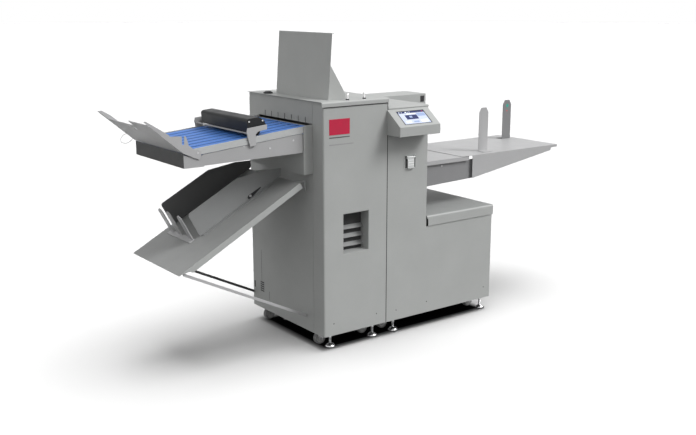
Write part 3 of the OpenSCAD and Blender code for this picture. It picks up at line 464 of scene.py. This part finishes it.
def repaint(piece, look, test):
    """Give a second look to the faces whose centre and normal pass the test."""
    piece.data.materials.append(finish[look])
    index = len(piece.data.materials) - 1
    for poly in piece.data.polygons:
        if test(poly.center, poly.normal):
            poly.material_index = index


def spot(point, axis):
    """Placing for a turned shape that stands on a point and runs along an axis."""
    return Matrix.Translation(point) @ AXES[axis]


def screws(name, body, slot, look, points, axis, radius, height=1.6):
    """Pan-head screws with a hexagon socket; points give the middle of each seat."""
    heads, sockets = bmesh.new(), bmesh.new()
    for point in points:
        place = spot(point, axis)
        turned(heads, [(0, 0), (radius, 0), (radius, height * 0.45), (radius * 0.86, height * 0.85),
                       (radius * 0.5, height), (0, height)], place, 32)
        turned(sockets, [(0, height), (radius * 0.38, height), (radius * 0.38, height + 0.06),
                         (0, height + 0.06)], place, 6)
    finish_piece(name, heads, body, slot, look)
    # The sockets are thin near-black discs on the heads: painted shade in the hexagon recess
    finish_piece(name + "_sockets", sockets, body, slot, "painted_deep_shade")


# ---------------------------------------------------------------- feet and castors

def make_feet():
    """Levelling feet: rubber ring, domed pad, threaded stem with a hexagon nut and a collar."""
    turns, pitch, root, crest = 16, 1.6, 5.2, 6.0
    pads, stems, rings = bmesh.new(), bmesh.new(), bmesh.new()
    for lo, hi in solids("levelling_feet"):
        place = Matrix.Translation(((lo.x + hi.x) / 2, (lo.y + hi.y) / 2, 0))
        r = (hi.x - lo.x) / 2 / MM
        top = hi.z / MM
        turned(rings, [(0, 0.2), (r - 0.8, 0.2), (r, 1.2), (r, 3.4), (r - 1.2, 4.6), (0, 4.6)], place)
        turned(pads, [(0, 4.5), (r - 3.0, 4.5), (r - 3.6, 7.2), (r - 7.0, 11.2), (r - 11.5, 14.6),
                      (9.0, 16.8), (7.4, 19.0), (0, 19.0)], place)
        thread = [(0, 18.8)]
        for i in range(turns):
            thread += [(root, 19 + i * pitch), (crest, 19.8 + i * pitch)]
        thread += [(crest, top - 23), (0, top - 23)]
        turned(stems, thread, place, 32)
        turned(stems, [(0, top - 22), (9.8, top - 22), (11, top - 20.6), (11, top - 15.4),
                       (9.8, top - 14), (0, top - 14)], place, 6)
        turned(stems, [(0, top - 14), (8.6, top - 14), (8.6, top - 0.4), (0, top - 0.4)], place, 32)
    finish_piece("levelling_foot_domes", pads, "machine", "chromed", "chromed",
                 replaced="levelling_feet")
    finish_piece("levelling_foot_stems", stems, "machine", "chromed", "zinc")
    finish_piece("levelling_foot_rubbers", rings, "machine", "black_rubber", "black_rubber")


def mirrored(profile):
    """A profile that is the same on both sides of height 0, from one half of it."""
    return profile + [(radius, -height) for radius, height in reversed(profile)]


def make_castors():
    """Castor wheels with grooved tyres, and the round covers over the forks' swivel bearings."""
    half_width = 11.0
    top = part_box("castor_forks")[1].z / MM
    hoods = bmesh.new()
    for node in CASTOR_WHEELS:
        body = body_of[node]
        tyres, hubs = bmesh.new(), bmesh.new()
        for lo, hi in solids(node):
            centre = (lo + hi) / 2
            r = (hi.x - lo.x) / 2 / MM
            axle = (hi.y - lo.y) / 2 / MM
            place = spot(centre, "y")
            tyre = mirrored([(r - 7, -half_width + 1.5), (r - 4, -half_width),
                             (r - 1.4, -half_width + 0.6), (r - 0.3, -half_width + 2.4),
                             (r - 0.3, -3.2), (r - 1.3, -2.6), (r - 1.3, -1.6), (r, -1.0)])
            turned(tyres, tyre + tyre[:1], place, 64)
            hub = mirrored([(0, -axle), (4.6, -axle), (4.6, -half_width - 1.2),
                            (8.5, -half_width - 1.0), (8.5, -half_width + 2.5),
                            (r - 9.5, -half_width + 3.5), (r - 8.2, -half_width + 1.0),
                            (r - 6.9, -half_width + 1.0)])
            turned(hubs, hub, place, 48)
            cover = Matrix.Translation((centre.x, centre.y, 0))
            turned(hoods, [(14, top - 17), (19, top - 15.5), (21.5, top - 12), (21.5, top - 6.2),
                           (14, top - 6.2), (14, top - 17)], cover)
        finish_piece(node + "_tyres", tyres, body, "black_rubber", "grey_rubber", replaced=node)
        finish_piece(node + "_hubs", hubs, body, "black_rubber", "hub_grey")
    finish_piece("castor_swivel_covers", hoods, "machine", "bright_steel", "zinc")


# ---------------------------------------------------------------- lid

def make_pegs():
    """Bright lid pegs with mushroom tops, in black collars."""
    collars, pins = bmesh.new(), bmesh.new()
    for lo, hi in solids("lid_pegs"):
        place = Matrix.Translation(((lo.x + hi.x) / 2, (lo.y + hi.y) / 2, lo.z))
        h = (hi.z - lo.z) / MM
        turned(collars, [(5.0, 0), (7.5, 0), (7.5, 3.6), (6.6, 4.8), (5.0, 4.8), (5.0, 0)], place, 40)
        turned(pins, [(0, 0.2), (4.9, 0.2), (4.9, h - 8.0), (6.2, h - 7.0), (6.5, h - 5.4),
                      (6.5, h - 2.2), (5.4, h - 0.6), (3.4, h), (0, h)], place, 48)
    finish_piece("lid_peg_pins", pins, "lid", "chromed", "bright_white_metal", replaced="lid_pegs")
    finish_piece("lid_peg_collars", collars, "lid", "chromed", "black_plastic")


def make_knob():
    """Fluted knob with a domed cap and a pale mark."""
    lo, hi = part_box("gap_knob")
    middle = (lo.x + hi.x) / 2
    place = Matrix.Translation((middle, (lo.y + hi.y) / 2, lo.z))
    r = (hi.x - lo.x) / 2 / MM
    skirt, cap, mark = bmesh.new(), bmesh.new(), bmesh.new()
    turned(skirt, [(0, 0), (r - 1.4, 0), (r - 0.7, 0.8), (r - 0.7, 4.6), (r - 1.6, 5.6), (0, 5.6)],
           place, 192, flutes=32, depth=0.6)
    turned(cap, [(0, 5.5), (r - 4, 5.5), (r - 5, 7.6), (r - 7.5, 9.6), (r - 11.5, 10.7), (0, 11)],
           place, 64)
    finish_piece("gap_knob_skirt", skirt, "gap_knob", "black_plastic", "black_plastic",
                 replaced="gap_knob")
    finish_piece("gap_knob_cap", cap, "gap_knob", "black_plastic", "cap_grey")
    half_width = 0.0006
    block(mark, (middle - half_width, hi.y - 0.0115, hi.z - 0.0012),
          (middle + half_width, hi.y - 0.0078, hi.z - 0.0003))
    finish_piece("gap_knob_mark", mark, "gap_knob", "black_plastic", "pale_print")


# ---------------------------------------------------------------- console screen

def screen_frame():
    """Corner and edge directions of the display's outer face."""
    mesh = nodes["touch_screen"].data
    world = nodes["touch_screen"].matrix_world
    face = max((p for p in mesh.polygons if p.normal.z > 0.5 and p.normal.y < -0.3),
               key=lambda p: p.area)
    normal = face.normal.normalized()
    points = [world @ v.co for v in mesh.vertices]
    front = [p for p in points if (p - world @ face.center).dot(normal) > -0.0002]
    across = Vector((1, 0, 0))
    up = normal.cross(across).normalized()
    corner = min(front, key=lambda p: p.dot(across) + p.dot(up))
    opposite = max(front, key=lambda p: p.dot(across) + p.dot(up))
    turn = Matrix((across, up, normal)).transposed().to_4x4()
    return (Matrix.Translation(corner) @ turn, (opposite - corner).dot(across),
            (opposite - corner).dot(up))


def make_screen():
    """The display's picture, as lit areas in parts of its width and height, and its bezel."""
    place, width, height = screen_frame()
    layer = 0.00006
    areas = {
        "display_pale": [(0.02, 0.02, 0.98, 0.86)],
        "display_navy": [(0.02, 0.845, 0.98, 0.975), (0.20, 0.36, 0.64, 0.70)],
        "display_white": [(0.045, 0.88, 0.085, 0.945), (0.15, 0.88, 0.17, 0.945),
                          (0.28, 0.87, 0.33, 0.95), (0.37, 0.88, 0.39, 0.945),
                          (0.43, 0.88, 0.46, 0.945), (0.66, 0.08, 0.93, 0.30),
                          (0.30, 0.73, 0.62, 0.82), (0.70, 0.58, 0.94, 0.66),
                          (0.10, 0.10, 0.30, 0.26)],
        "display_blue": [(0.66, 0.56, 0.96, 0.80), (0.34, 0.48, 0.44, 0.62),
                         (0.38, 0.10, 0.58, 0.22)],
        "display_red": [(0.90, 0.885, 0.935, 0.94)],
    }
    for level, (look, boxes) in enumerate(areas.items()):
        bm = bmesh.new()
        for x0, y0, x1, y1 in boxes:
            block(bm, (x0 * width, y0 * height, 0.0),
                  (x1 * width, y1 * height, layer * (level + 1)), place)
        finish_piece("screen_" + look, bm, "machine", "screen", look)
    bezel = bmesh.new()
    rim, sunk, lift = 0.0022, -0.001, 0.0006
    for lo, hi in (((-rim, -rim), (width + rim, 0)), ((-rim, height), (width + rim, height + rim)),
                   ((-rim, 0), (0, height)), ((width, 0), (width + rim, height))):
        block(bezel, (*lo, sunk), (*hi, lift), place)
    finish_piece("screen_bezel", bezel, "machine", "screen", "bezel_grey", 0.3)


# ---------------------------------------------------------------- latch, switch and labels

def make_latch():
    """Painted shade in the gaps on both sides of the paddle, and the ribs of its grip."""
    lo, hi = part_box("latch_paddle")
    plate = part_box("latch_plate")[0]
    gap_y, gap_depth, gap_z = plate.y + 0.0098, 0.0003, plate.z + 0.002
    outside, inside = 0.003, 0.0055
    recess = bmesh.new()
    for x0, x1 in ((lo.x - outside, lo.x + inside), (hi.x - inside, hi.x + outside)):
        block(recess, (x0, gap_y - gap_depth, gap_z), (x1, gap_y, hi.z))
    finish_piece("latch_recess", recess, "machine", "bright_steel", "painted_deep_shade")
    ribs, first, pitch, height, inset = 3, 0.012, 0.011, 0.0035, 0.010
    back, front = lo.y + 0.0032, lo.y + 0.0041
    rib = bmesh.new()
    for i in range(ribs):
        z = lo.z + (first + pitch * i)
        block(rib, (lo.x + inset, back, z), (hi.x - inset, front, z + height))
    finish_piece("latch_grip_ribs", rib, "latch", "bright_steel", "zinc", 0.5)


def make_rocker_bezel():
    """Rim around the rocker switch, made of four bars."""
    lo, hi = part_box("rocker_switch")
    y0, y1 = lo.y + 0.0002, lo.y + 0.0010
    outer, gap = 0.0016, 0.0003
    rim = bmesh.new()
    block(rim, (lo.x - outer, y0, lo.z - outer), (hi.x + outer, y1, lo.z - gap))
    block(rim, (lo.x - outer, y0, hi.z + gap), (hi.x + outer, y1, hi.z + outer))
    block(rim, (lo.x - outer, y0, lo.z - gap), (lo.x - gap, y1, hi.z + gap))
    block(rim, (hi.x + gap, y0, lo.z - gap), (hi.x + outer, y1, hi.z + gap))
    finish_piece("rocker_bezel", rim, "machine", "black_plastic", "black_plastic", 0.3)


def make_left_face_marks():
    """Painted shade as thin dark marks: a slot at the back edge, the thin seams of the service door and
    its vent slits.
    """
    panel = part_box("exit_end_panel")[0].x
    outermost = min(panel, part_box("main_rear_panel")[0].x)
    half_depth = 0.0004
    marks = [(outermost, 568, 160, 580, 192), (panel, 511, 205, 512.6, 356),
             (panel, 445, 126, 446.8, 168)]
    slits, first, pitch, height = 5, 154, 10.4, 6.4
    marks += [(panel, 491, first + pitch * i, 523, first + pitch * i + height) for i in range(slits)]
    bm = bmesh.new()
    for x, y0, z0, y1, z1 in marks:
        block(bm, (x - half_depth, at(0, y0, 0).y, z0 * MM), (x + half_depth, at(0, y1, 0).y, z1 * MM))
    finish_piece("left_face_slits", bm, "machine", "body_paint", "soft_shadow")


def make_seam_strip():
    """Painted shade in the joint between the two cabinets: near-black strips in the gap, with a thin lip
    over the front one.
    """
    left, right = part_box("main_front_panel"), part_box("feeder_front_panel")
    front, back = left[0].y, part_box("feeder_rear_cover")[1].y
    bottom, top = left[0].z + 0.001, left[1].z - 0.012
    depth, tuck, lip = 0.010, 0.0002, 0.0006
    strip = bmesh.new()
    for y0, y1 in ((front + 0.0012, front + depth), (back - depth, back - 0.0014)):
        block(strip, (left[1].x - tuck, y0, bottom), (right[0].x + tuck, y1, top))
    block(strip, (left[1].x - lip, front - 0.0003, bottom), (right[0].x + lip, front - 0.0001, top))
    finish_piece("cabinet_seam_strip", strip, "machine", "black_rubber", "painted_deep_shade")


def make_lid_edge_shadow():
    """Painted shadow under the lid's front edge: a near-black strip on the front panel."""
    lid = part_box("top_lid")[0]
    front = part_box("main_front_panel")
    below, above = 0.0032, 0.004
    bm = bmesh.new()
    block(bm, (front[0].x + 0.004, lid.y + 0.0017, lid.z - below),
          (front[1].x - 0.001, front[0].y - 0.0003, lid.z + above))
    finish_piece("lid_edge_painted_shadow", bm, "lid", "black_rubber", "painted_deep_shade")


def make_comb_backing():
    """Painted shade behind the comb slits over the sheet slot: a near-black sheet."""
    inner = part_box("exit_end_panel")[1]
    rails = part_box("conveyor_rails")
    clear, thick = 0.0001, 0.0005
    bm = bmesh.new()
    block(bm, (inner.x + clear, rails[0].y, rails[1].z + 0.006),
          (inner.x + clear + thick, rails[1].y, inner.z - 0.03))
    finish_piece("comb_backing", bm, "machine", "black_rubber", "painted_deep_shade")


def make_filter_mat():
    """Dense mat behind the louvres."""
    lo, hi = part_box("vent_louvres")
    wall = 0.0016
    mat = bmesh.new()
    block(mat, (lo.x + wall, hi.y - 0.0012, lo.z + wall), (hi.x - wall, hi.y - 0.0002, hi.z - wall))
    finish_piece("vent_filter_mat", mat, "machine", "black_rubber", "filter_mat")


def make_guide_lever():
    """Dark tapered clamp lever with its screw, on the near guide's front face."""
    front, thick = at(0, 248, 0).y, 0.0018
    tail, tip = at(-214, 0, 680), at(-156, 0, 717)
    run = (tip - tail).normalized()
    side = Vector((-run.z, 0, run.x))
    outline = [tail - side * 0.0105 - run * 0.004, tip - side * 0.0028, tip + side * 0.0022,
               tail + side * 0.0085, tail + side * 0.002 - run * 0.008]
    bm = bmesh.new()
    low = [bm.verts.new((p.x, front, p.z)) for p in outline]
    high = [bm.verts.new((p.x, front - thick, p.z)) for p in outline]
    bm.faces.new(low)
    bm.faces.new(high[::-1])
    for i in range(len(outline)):
        j = (i + 1) % len(outline)
        bm.faces.new((low[i], high[i], high[j], low[j]))
    finish_piece("near_guide_lever", bm, "near_guide", "guide_paint", "black_plastic", 0.4)
    screws("near_guide_screw", "near_guide", "bright_steel", "bright_white_metal",
           [Vector((at(-207, 0, 0).x, front - thick, 685 * MM))], "-y", 5.2, 1.8)


def make_guide_labels():
    """A teal dot and a red bar near the top of the rear side guide."""
    lo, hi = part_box("rear_side_guide")
    middle = (lo.x + hi.x) / 2
    radius, thick = 8.5, 0.2
    dot, bar = bmesh.new(), bmesh.new()
    turned(dot, [(0, 0), (radius, 0), (radius, thick), (0, thick)],
           spot(Vector((middle + 0.002, lo.y, hi.z - 0.030)), "-y"), 40)
    block(bar, (middle - 0.006, lo.y - thick * MM, hi.z - 0.060), (middle + 0.004, lo.y, hi.z - 0.055))
    finish_piece("rear_guide_dot", dot, "rear_guide", "tray_paint", "teal")
    finish_piece("rear_guide_bar", bar, "rear_guide", "tray_paint", "soft_red")


def make_badge_line():
    """The thin line below the crimson block is dark, with a fainter one under it."""
    lo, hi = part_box("badge")
    dark, faint = bmesh.new(), bmesh.new()
    block(dark, (lo.x, lo.y + 0.0003, lo.z - 0.0001), (hi.x, hi.y, lo.z + 0.0042))
    finish_piece("badge_line", dark, "machine", "badge_red", "dark_print")
    block(faint, (lo.x, hi.y - 0.0003, lo.z - 0.031), (hi.x + 0.020, hi.y, lo.z - 0.026))
    finish_piece("badge_faint_line", faint, "machine", "badge_red", "grey_print")


def make_wire_loop():
    """Wire handle under the catch tray's lower end, at the far wall."""
    curve = bpy.data.curves.new("catch_tray_wire", "CURVE")
    curve.dimensions = "3D"
    curve.bevel_depth = 0.0011
    curve.bevel_resolution = 4
    spline = curve.splines.new("BEZIER")
    points = [(-640, 505, 962), (-662, 506, 950), (-668, 507, 930), (-650, 507, 920),
              (-628, 506, 926), (-614, 505, 940)]
    spline.bezier_points.add(len(points) - 1)
    for knot, point in zip(spline.bezier_points, points):
        knot.co = at(*point)
        knot.handle_left_type = knot.handle_right_type = "AUTO"
    holder = bpy.data.objects.new("wire_holder", curve)
    bpy.context.scene.collection.objects.link(holder)
    evaluated = holder.evaluated_get(bpy.context.evaluated_depsgraph_get())
    mesh = bpy.data.meshes.new_from_object(evaluated)
    bpy.data.objects.remove(holder)
    for poly in mesh.polygons:
        poly.use_smooth = True
    mesh.materials.clear()
    new_piece("catch_tray_wire", mesh, "catch_tray", "bright_steel", "zinc")


def on_plane(x, z, y):
    """A point at X and Z in the machine's millimetres, on a plane at y metres in the frame."""
    point = at(x, 0, z)
    point.y = y
    return point


def make_front_plugs():
    """Small dark plugs near the cabinets' lower front edges."""
    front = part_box("feeder_front_panel")[0].y
    bm = bmesh.new()
    for x, z in ((52, 124), (288, 123), (586, 122), (956, 125), (402, 117)):
        turned(bm, [(0, 0), (2.9, 0), (2.6, 0.5), (1.6, 0.8), (0, 0.9)],
               spot(on_plane(x, z, front), "-y"), 24)
    finish_piece("front_plugs", bm, "machine", "body_paint", "soft_shadow")


def make_pinch_screws():
    """Two screws in each end of the pinch housing; u runs along the conveyor and v up from it."""
    start_x, start_z = -560, 941
    points = [(start_x + u * math.cos(SLOPE) - v * math.sin(SLOPE),
               start_z + u * math.sin(SLOPE) + v * math.cos(SLOPE))
              for u, v in ((266, 61), (329, 56))]
    lo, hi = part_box("pinch_housing")
    for y, axis, tag in ((lo.y, "-y", "near"), (hi.y, "y", "far")):
        screws("pinch_end_screws_" + tag, "pinch_unit", "bright_steel", "bright_white_metal",
               [on_plane(x, z, y) for x, z in points], axis, 3.4, 1.6)


def make_single_screws():
    """Screws of the table bracket, the tower's flange and the conveyor's side."""
    screws("table_bracket_screw", "table", "bright_steel", "bright_white_metal",
           [at(751, 96.5, 735)], "-y", 3.2)
    tower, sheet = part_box("sheet_tower")[0], 0.002
    flange = [Vector((tower.x + 0.014, tower.y + dy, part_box("top_lid")[1].z + sheet))
              for dy in (0.04, 0.20, 0.366)]
    screws("tower_foot_screws", "lid", "bright_steel", "zinc", flange, "z", 3.0)
    side = on_plane(-330, 931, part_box("conveyor_frame")[0].y + 0.002)
    screws("conveyor_side_screw", "machine", "bright_steel", "zinc", [side], "-y", 3.0, 1.4)


def make_back_screws():
    """Pan-head screws that hold the two rear covers."""
    inset, radius = 0.012, 3.6
    main_lo, main_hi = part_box("main_rear_panel")
    lo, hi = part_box("feeder_rear_cover")
    heights = (main_lo.z + 0.03, (main_lo.z + main_hi.z) / 2, main_hi.z - 0.06)
    points = [Vector((x, hi.y, z)) for x in (main_lo.x + inset, main_hi.x - inset) for z in heights]
    screws("main_rear_screws", "machine", "bright_steel", "zinc", points, "y", radius)
    points = [Vector((lo.x + inset, hi.y, z))
              for z in (lo.z + 0.03, (lo.z + hi.z) / 2, hi.z - 0.16)]
    points += [Vector((hi.x - inset, hi.y, lo.z + dz)) for dz in (0.03, 0.20, 0.36)]
    screws("feeder_rear_screws", "machine", "bright_steel", "zinc", points, "y", radius)


make_feet()
make_castors()
make_pegs()
make_knob()
make_screen()
make_latch()
make_rocker_bezel()
make_left_face_marks()
make_seam_strip()
make_lid_edge_shadow()
make_comb_backing()
make_filter_mat()
make_guide_lever()
make_guide_labels()
make_badge_line()
make_wire_loop()
make_front_plugs()
make_pinch_screws()
make_single_screws()
make_back_screws()
# The belts cast no blue light on the grey sheet metal beside them
skins["conveyor_belts"].visible_diffuse = False

# A face looks one way when its normal's part in that direction is above one of these
MOSTLY, NEARLY = 0.8, 0.9
end_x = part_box("conveyor_frame")[0].x + 0.12
table_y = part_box("feed_table")[0].y + 0.008
vent_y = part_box("vent_louvres")[0].y
blades_start, blades_end = vent_y + 0.034, vent_y + 0.054
strut_middle = sum(p.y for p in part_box("tray_struts")) / 2
# Painted shade: the conveyor's end face, turned away from the key light, gets a near-black copy of the
# paint
repaint(skins["conveyor_frame"], "end_face_painted_shade",
        lambda centre, normal: normal.x < -MOSTLY and centre.x < end_x)
# Painted shade: the fold tray's own look is a darker copy of the paint; only its front and back walls
# keep the body paint
repaint(skins["fold_tray"], "body_paint", lambda centre, normal: abs(normal.y) > MOSTLY)
# Painted shade: the bracket's front faces under the table lip get a darker copy of the paint
repaint(skins["feed_table"], "bracket_painted_shade",
        lambda centre, normal: normal.y < -MOSTLY and centre.y > table_y)
# Painted shade: the louvre blades deep in the vent get a darker copy of the paint
repaint(skins["vent_louvres"], "blade_painted_shade",
        lambda centre, normal: abs(normal.x) < NEARLY and blades_start < centre.y < blades_end)
# Painted shade: the conveyor frame's upward faces, seen between the belts, are near-black blue
repaint(skins["conveyor_frame"], "bed_painted_shade", lambda centre, normal: normal.z > NEARLY)
# Painted shade: the pump bay cover's top faces get a darker copy of the paint, for the shade of the table
# above
repaint(skins["pump_bay_cover"], "cover_top_painted_shade", lambda centre, normal: normal.z > NEARLY)
# Painted shade: the far strut gets a dark copy of the metal, for the tray's shadow on it
repaint(skins["tray_struts"], "far_strut_painted_shade", lambda centre, normal: centre.y > strut_middle)

# ---------------------------------------------------------------- stage, light and camera

def make_floor():
    """Pale studio floor, with a near-black painted shadow right below the cabinets."""
    mesh = bpy.data.meshes.new("studio_floor")
    side = 60.0
    corners = [(-side, -side, 0), (side, -side, 0), (side, side, 0), (-side, side, 0)]
    mesh.from_pydata(corners, [], [(0, 1, 2, 3)])
    mat, tree, bsdf = new_material("studio_floor")
    coords = object_coords(tree)
    plain = tint(tree, noise(tree, coords, 0.8), (0.475, 0.475, 0.475), (0.485, 0.485, 0.485))
    sides = tree.nodes.new("ShaderNodeSeparateXYZ")
    tree.links.new(coords, sides.inputs["Vector"])
    # Painted shadow: the base colour fades to near black inside the cabinets' footprint
    low, high, fade = at(4, 14, 0), at(1010, 575, 0), 0.045
    ramps = [remap(tree, sides.outputs[axis], start, start + step, 0, 1)
             for axis, start, step in (("X", low.x, fade), ("X", high.x, -fade),
                                       ("Y", low.y, fade), ("Y", high.y, -fade))]
    under = ramps[0]
    for ramp in ramps[1:]:
        under = product(tree, under, ramp)
    dark = tree.nodes.new("ShaderNodeMix")
    dark.data_type = "RGBA"
    tree.links.new(under, dark.inputs["Factor"])
    tree.links.new(plain, dark.inputs["A"])
    dark.inputs["B"].default_value = (0.004, 0.004, 0.004, 1)
    tree.links.new(dark.outputs["Result"], bsdf.inputs["Base Color"])
    bsdf.inputs["Roughness"].default_value = 0.8
    bsdf.inputs["Specular IOR Level"].default_value = 0.0
    mesh.materials.append(mat)
    floor = bpy.data.objects.new("studio_floor", mesh)
    floor.visible_diffuse = False
    bpy.context.scene.collection.objects.link(floor)
    return floor


def make_backdrop():
    """A plain white dome far behind everything, which lights nothing."""
    mesh = bpy.data.meshes.new("studio_backdrop")
    bm = bmesh.new()
    bmesh.ops.create_icosphere(bm, subdivisions=4, radius=58.0)
    bm.to_mesh(mesh)
    bm.free()
    mat = bpy.data.materials.new("studio_backdrop")
    mat.use_nodes = True
    tree = mat.node_tree
    tree.nodes.clear()
    glow = tree.nodes.new("ShaderNodeEmission")
    out = tree.nodes.new("ShaderNodeOutputMaterial")
    tree.links.new(glow.outputs["Emission"], out.inputs["Surface"])
    mesh.materials.append(mat)
    dome = bpy.data.objects.new("studio_backdrop", mesh)
    dome.visible_diffuse = False
    dome.visible_glossy = False
    dome.visible_transmission = False
    dome.visible_shadow = False
    bpy.context.scene.collection.objects.link(dome)


def make_world(up, down):
    """Soft white light from above the horizon, dim below it."""
    world = bpy.data.worlds.new("studio")
    world.use_nodes = True
    tree = world.node_tree
    coords = tree.nodes.new("ShaderNodeTexCoord").outputs["Generated"]
    parts = tree.nodes.new("ShaderNodeSeparateXYZ")
    tree.links.new(coords, parts.inputs["Vector"])
    blend = 0.05
    ramp = remap(tree, parts.outputs["Z"], -blend, blend, down, up)
    tree.links.new(ramp, tree.nodes["Background"].inputs["Strength"])
    tree.nodes["Background"].inputs["Color"].default_value = (1, 1, 1, 1)
    bpy.context.scene.world = world


def make_sun(name, direction, spread, strength, floor, on_floor):
    """Wide soft light that reaches either the floor alone or everything but the floor."""
    data = bpy.data.lights.new(name, "SUN")
    data.angle = math.radians(spread)
    data.energy = strength
    lamp = bpy.data.objects.new(name, data)
    lamp.rotation_mode = "QUATERNION"
    lamp.rotation_quaternion = (-Vector(direction)).to_track_quat("-Z", "Y")
    bpy.context.scene.collection.objects.link(lamp)
    lit = bpy.data.collections.new(name + "_receivers")
    lit.objects.link(floor)
    lit.collection_objects[0].light_linking.link_state = "INCLUDE" if on_floor else "EXCLUDE"
    lamp.light_linking.receiver_collection = lit


def make_camera():
    """The camera looks down by the tilt and turns to the right by the pan."""
    tilt, pan = 13.106, 36.545
    data = bpy.data.cameras.new("camera")
    data.sensor_width = 36.0
    data.lens = 48.7
    data.clip_end = 200.0
    camera = bpy.data.objects.new("camera", data)
    camera.location = at(-2218.2, -3165.8, 1507.3)
    camera.rotation_euler = (math.radians(90 - tilt), 0, math.radians(-pan))
    bpy.context.scene.collection.objects.link(camera)
    bpy.context.scene.camera = camera


studio_floor = make_floor()
make_backdrop()
make_world(0.84, 0.08)
make_sun("key_light", (0.46, -0.57, 0.68), 26.0, 2.3, studio_floor, False)
make_sun("overhead_light", (0.08, -0.12, 1.0), 48.0, 4.6, studio_floor, True)
make_camera()
bpy.context.scene.view_settings.view_transform = "Standard"
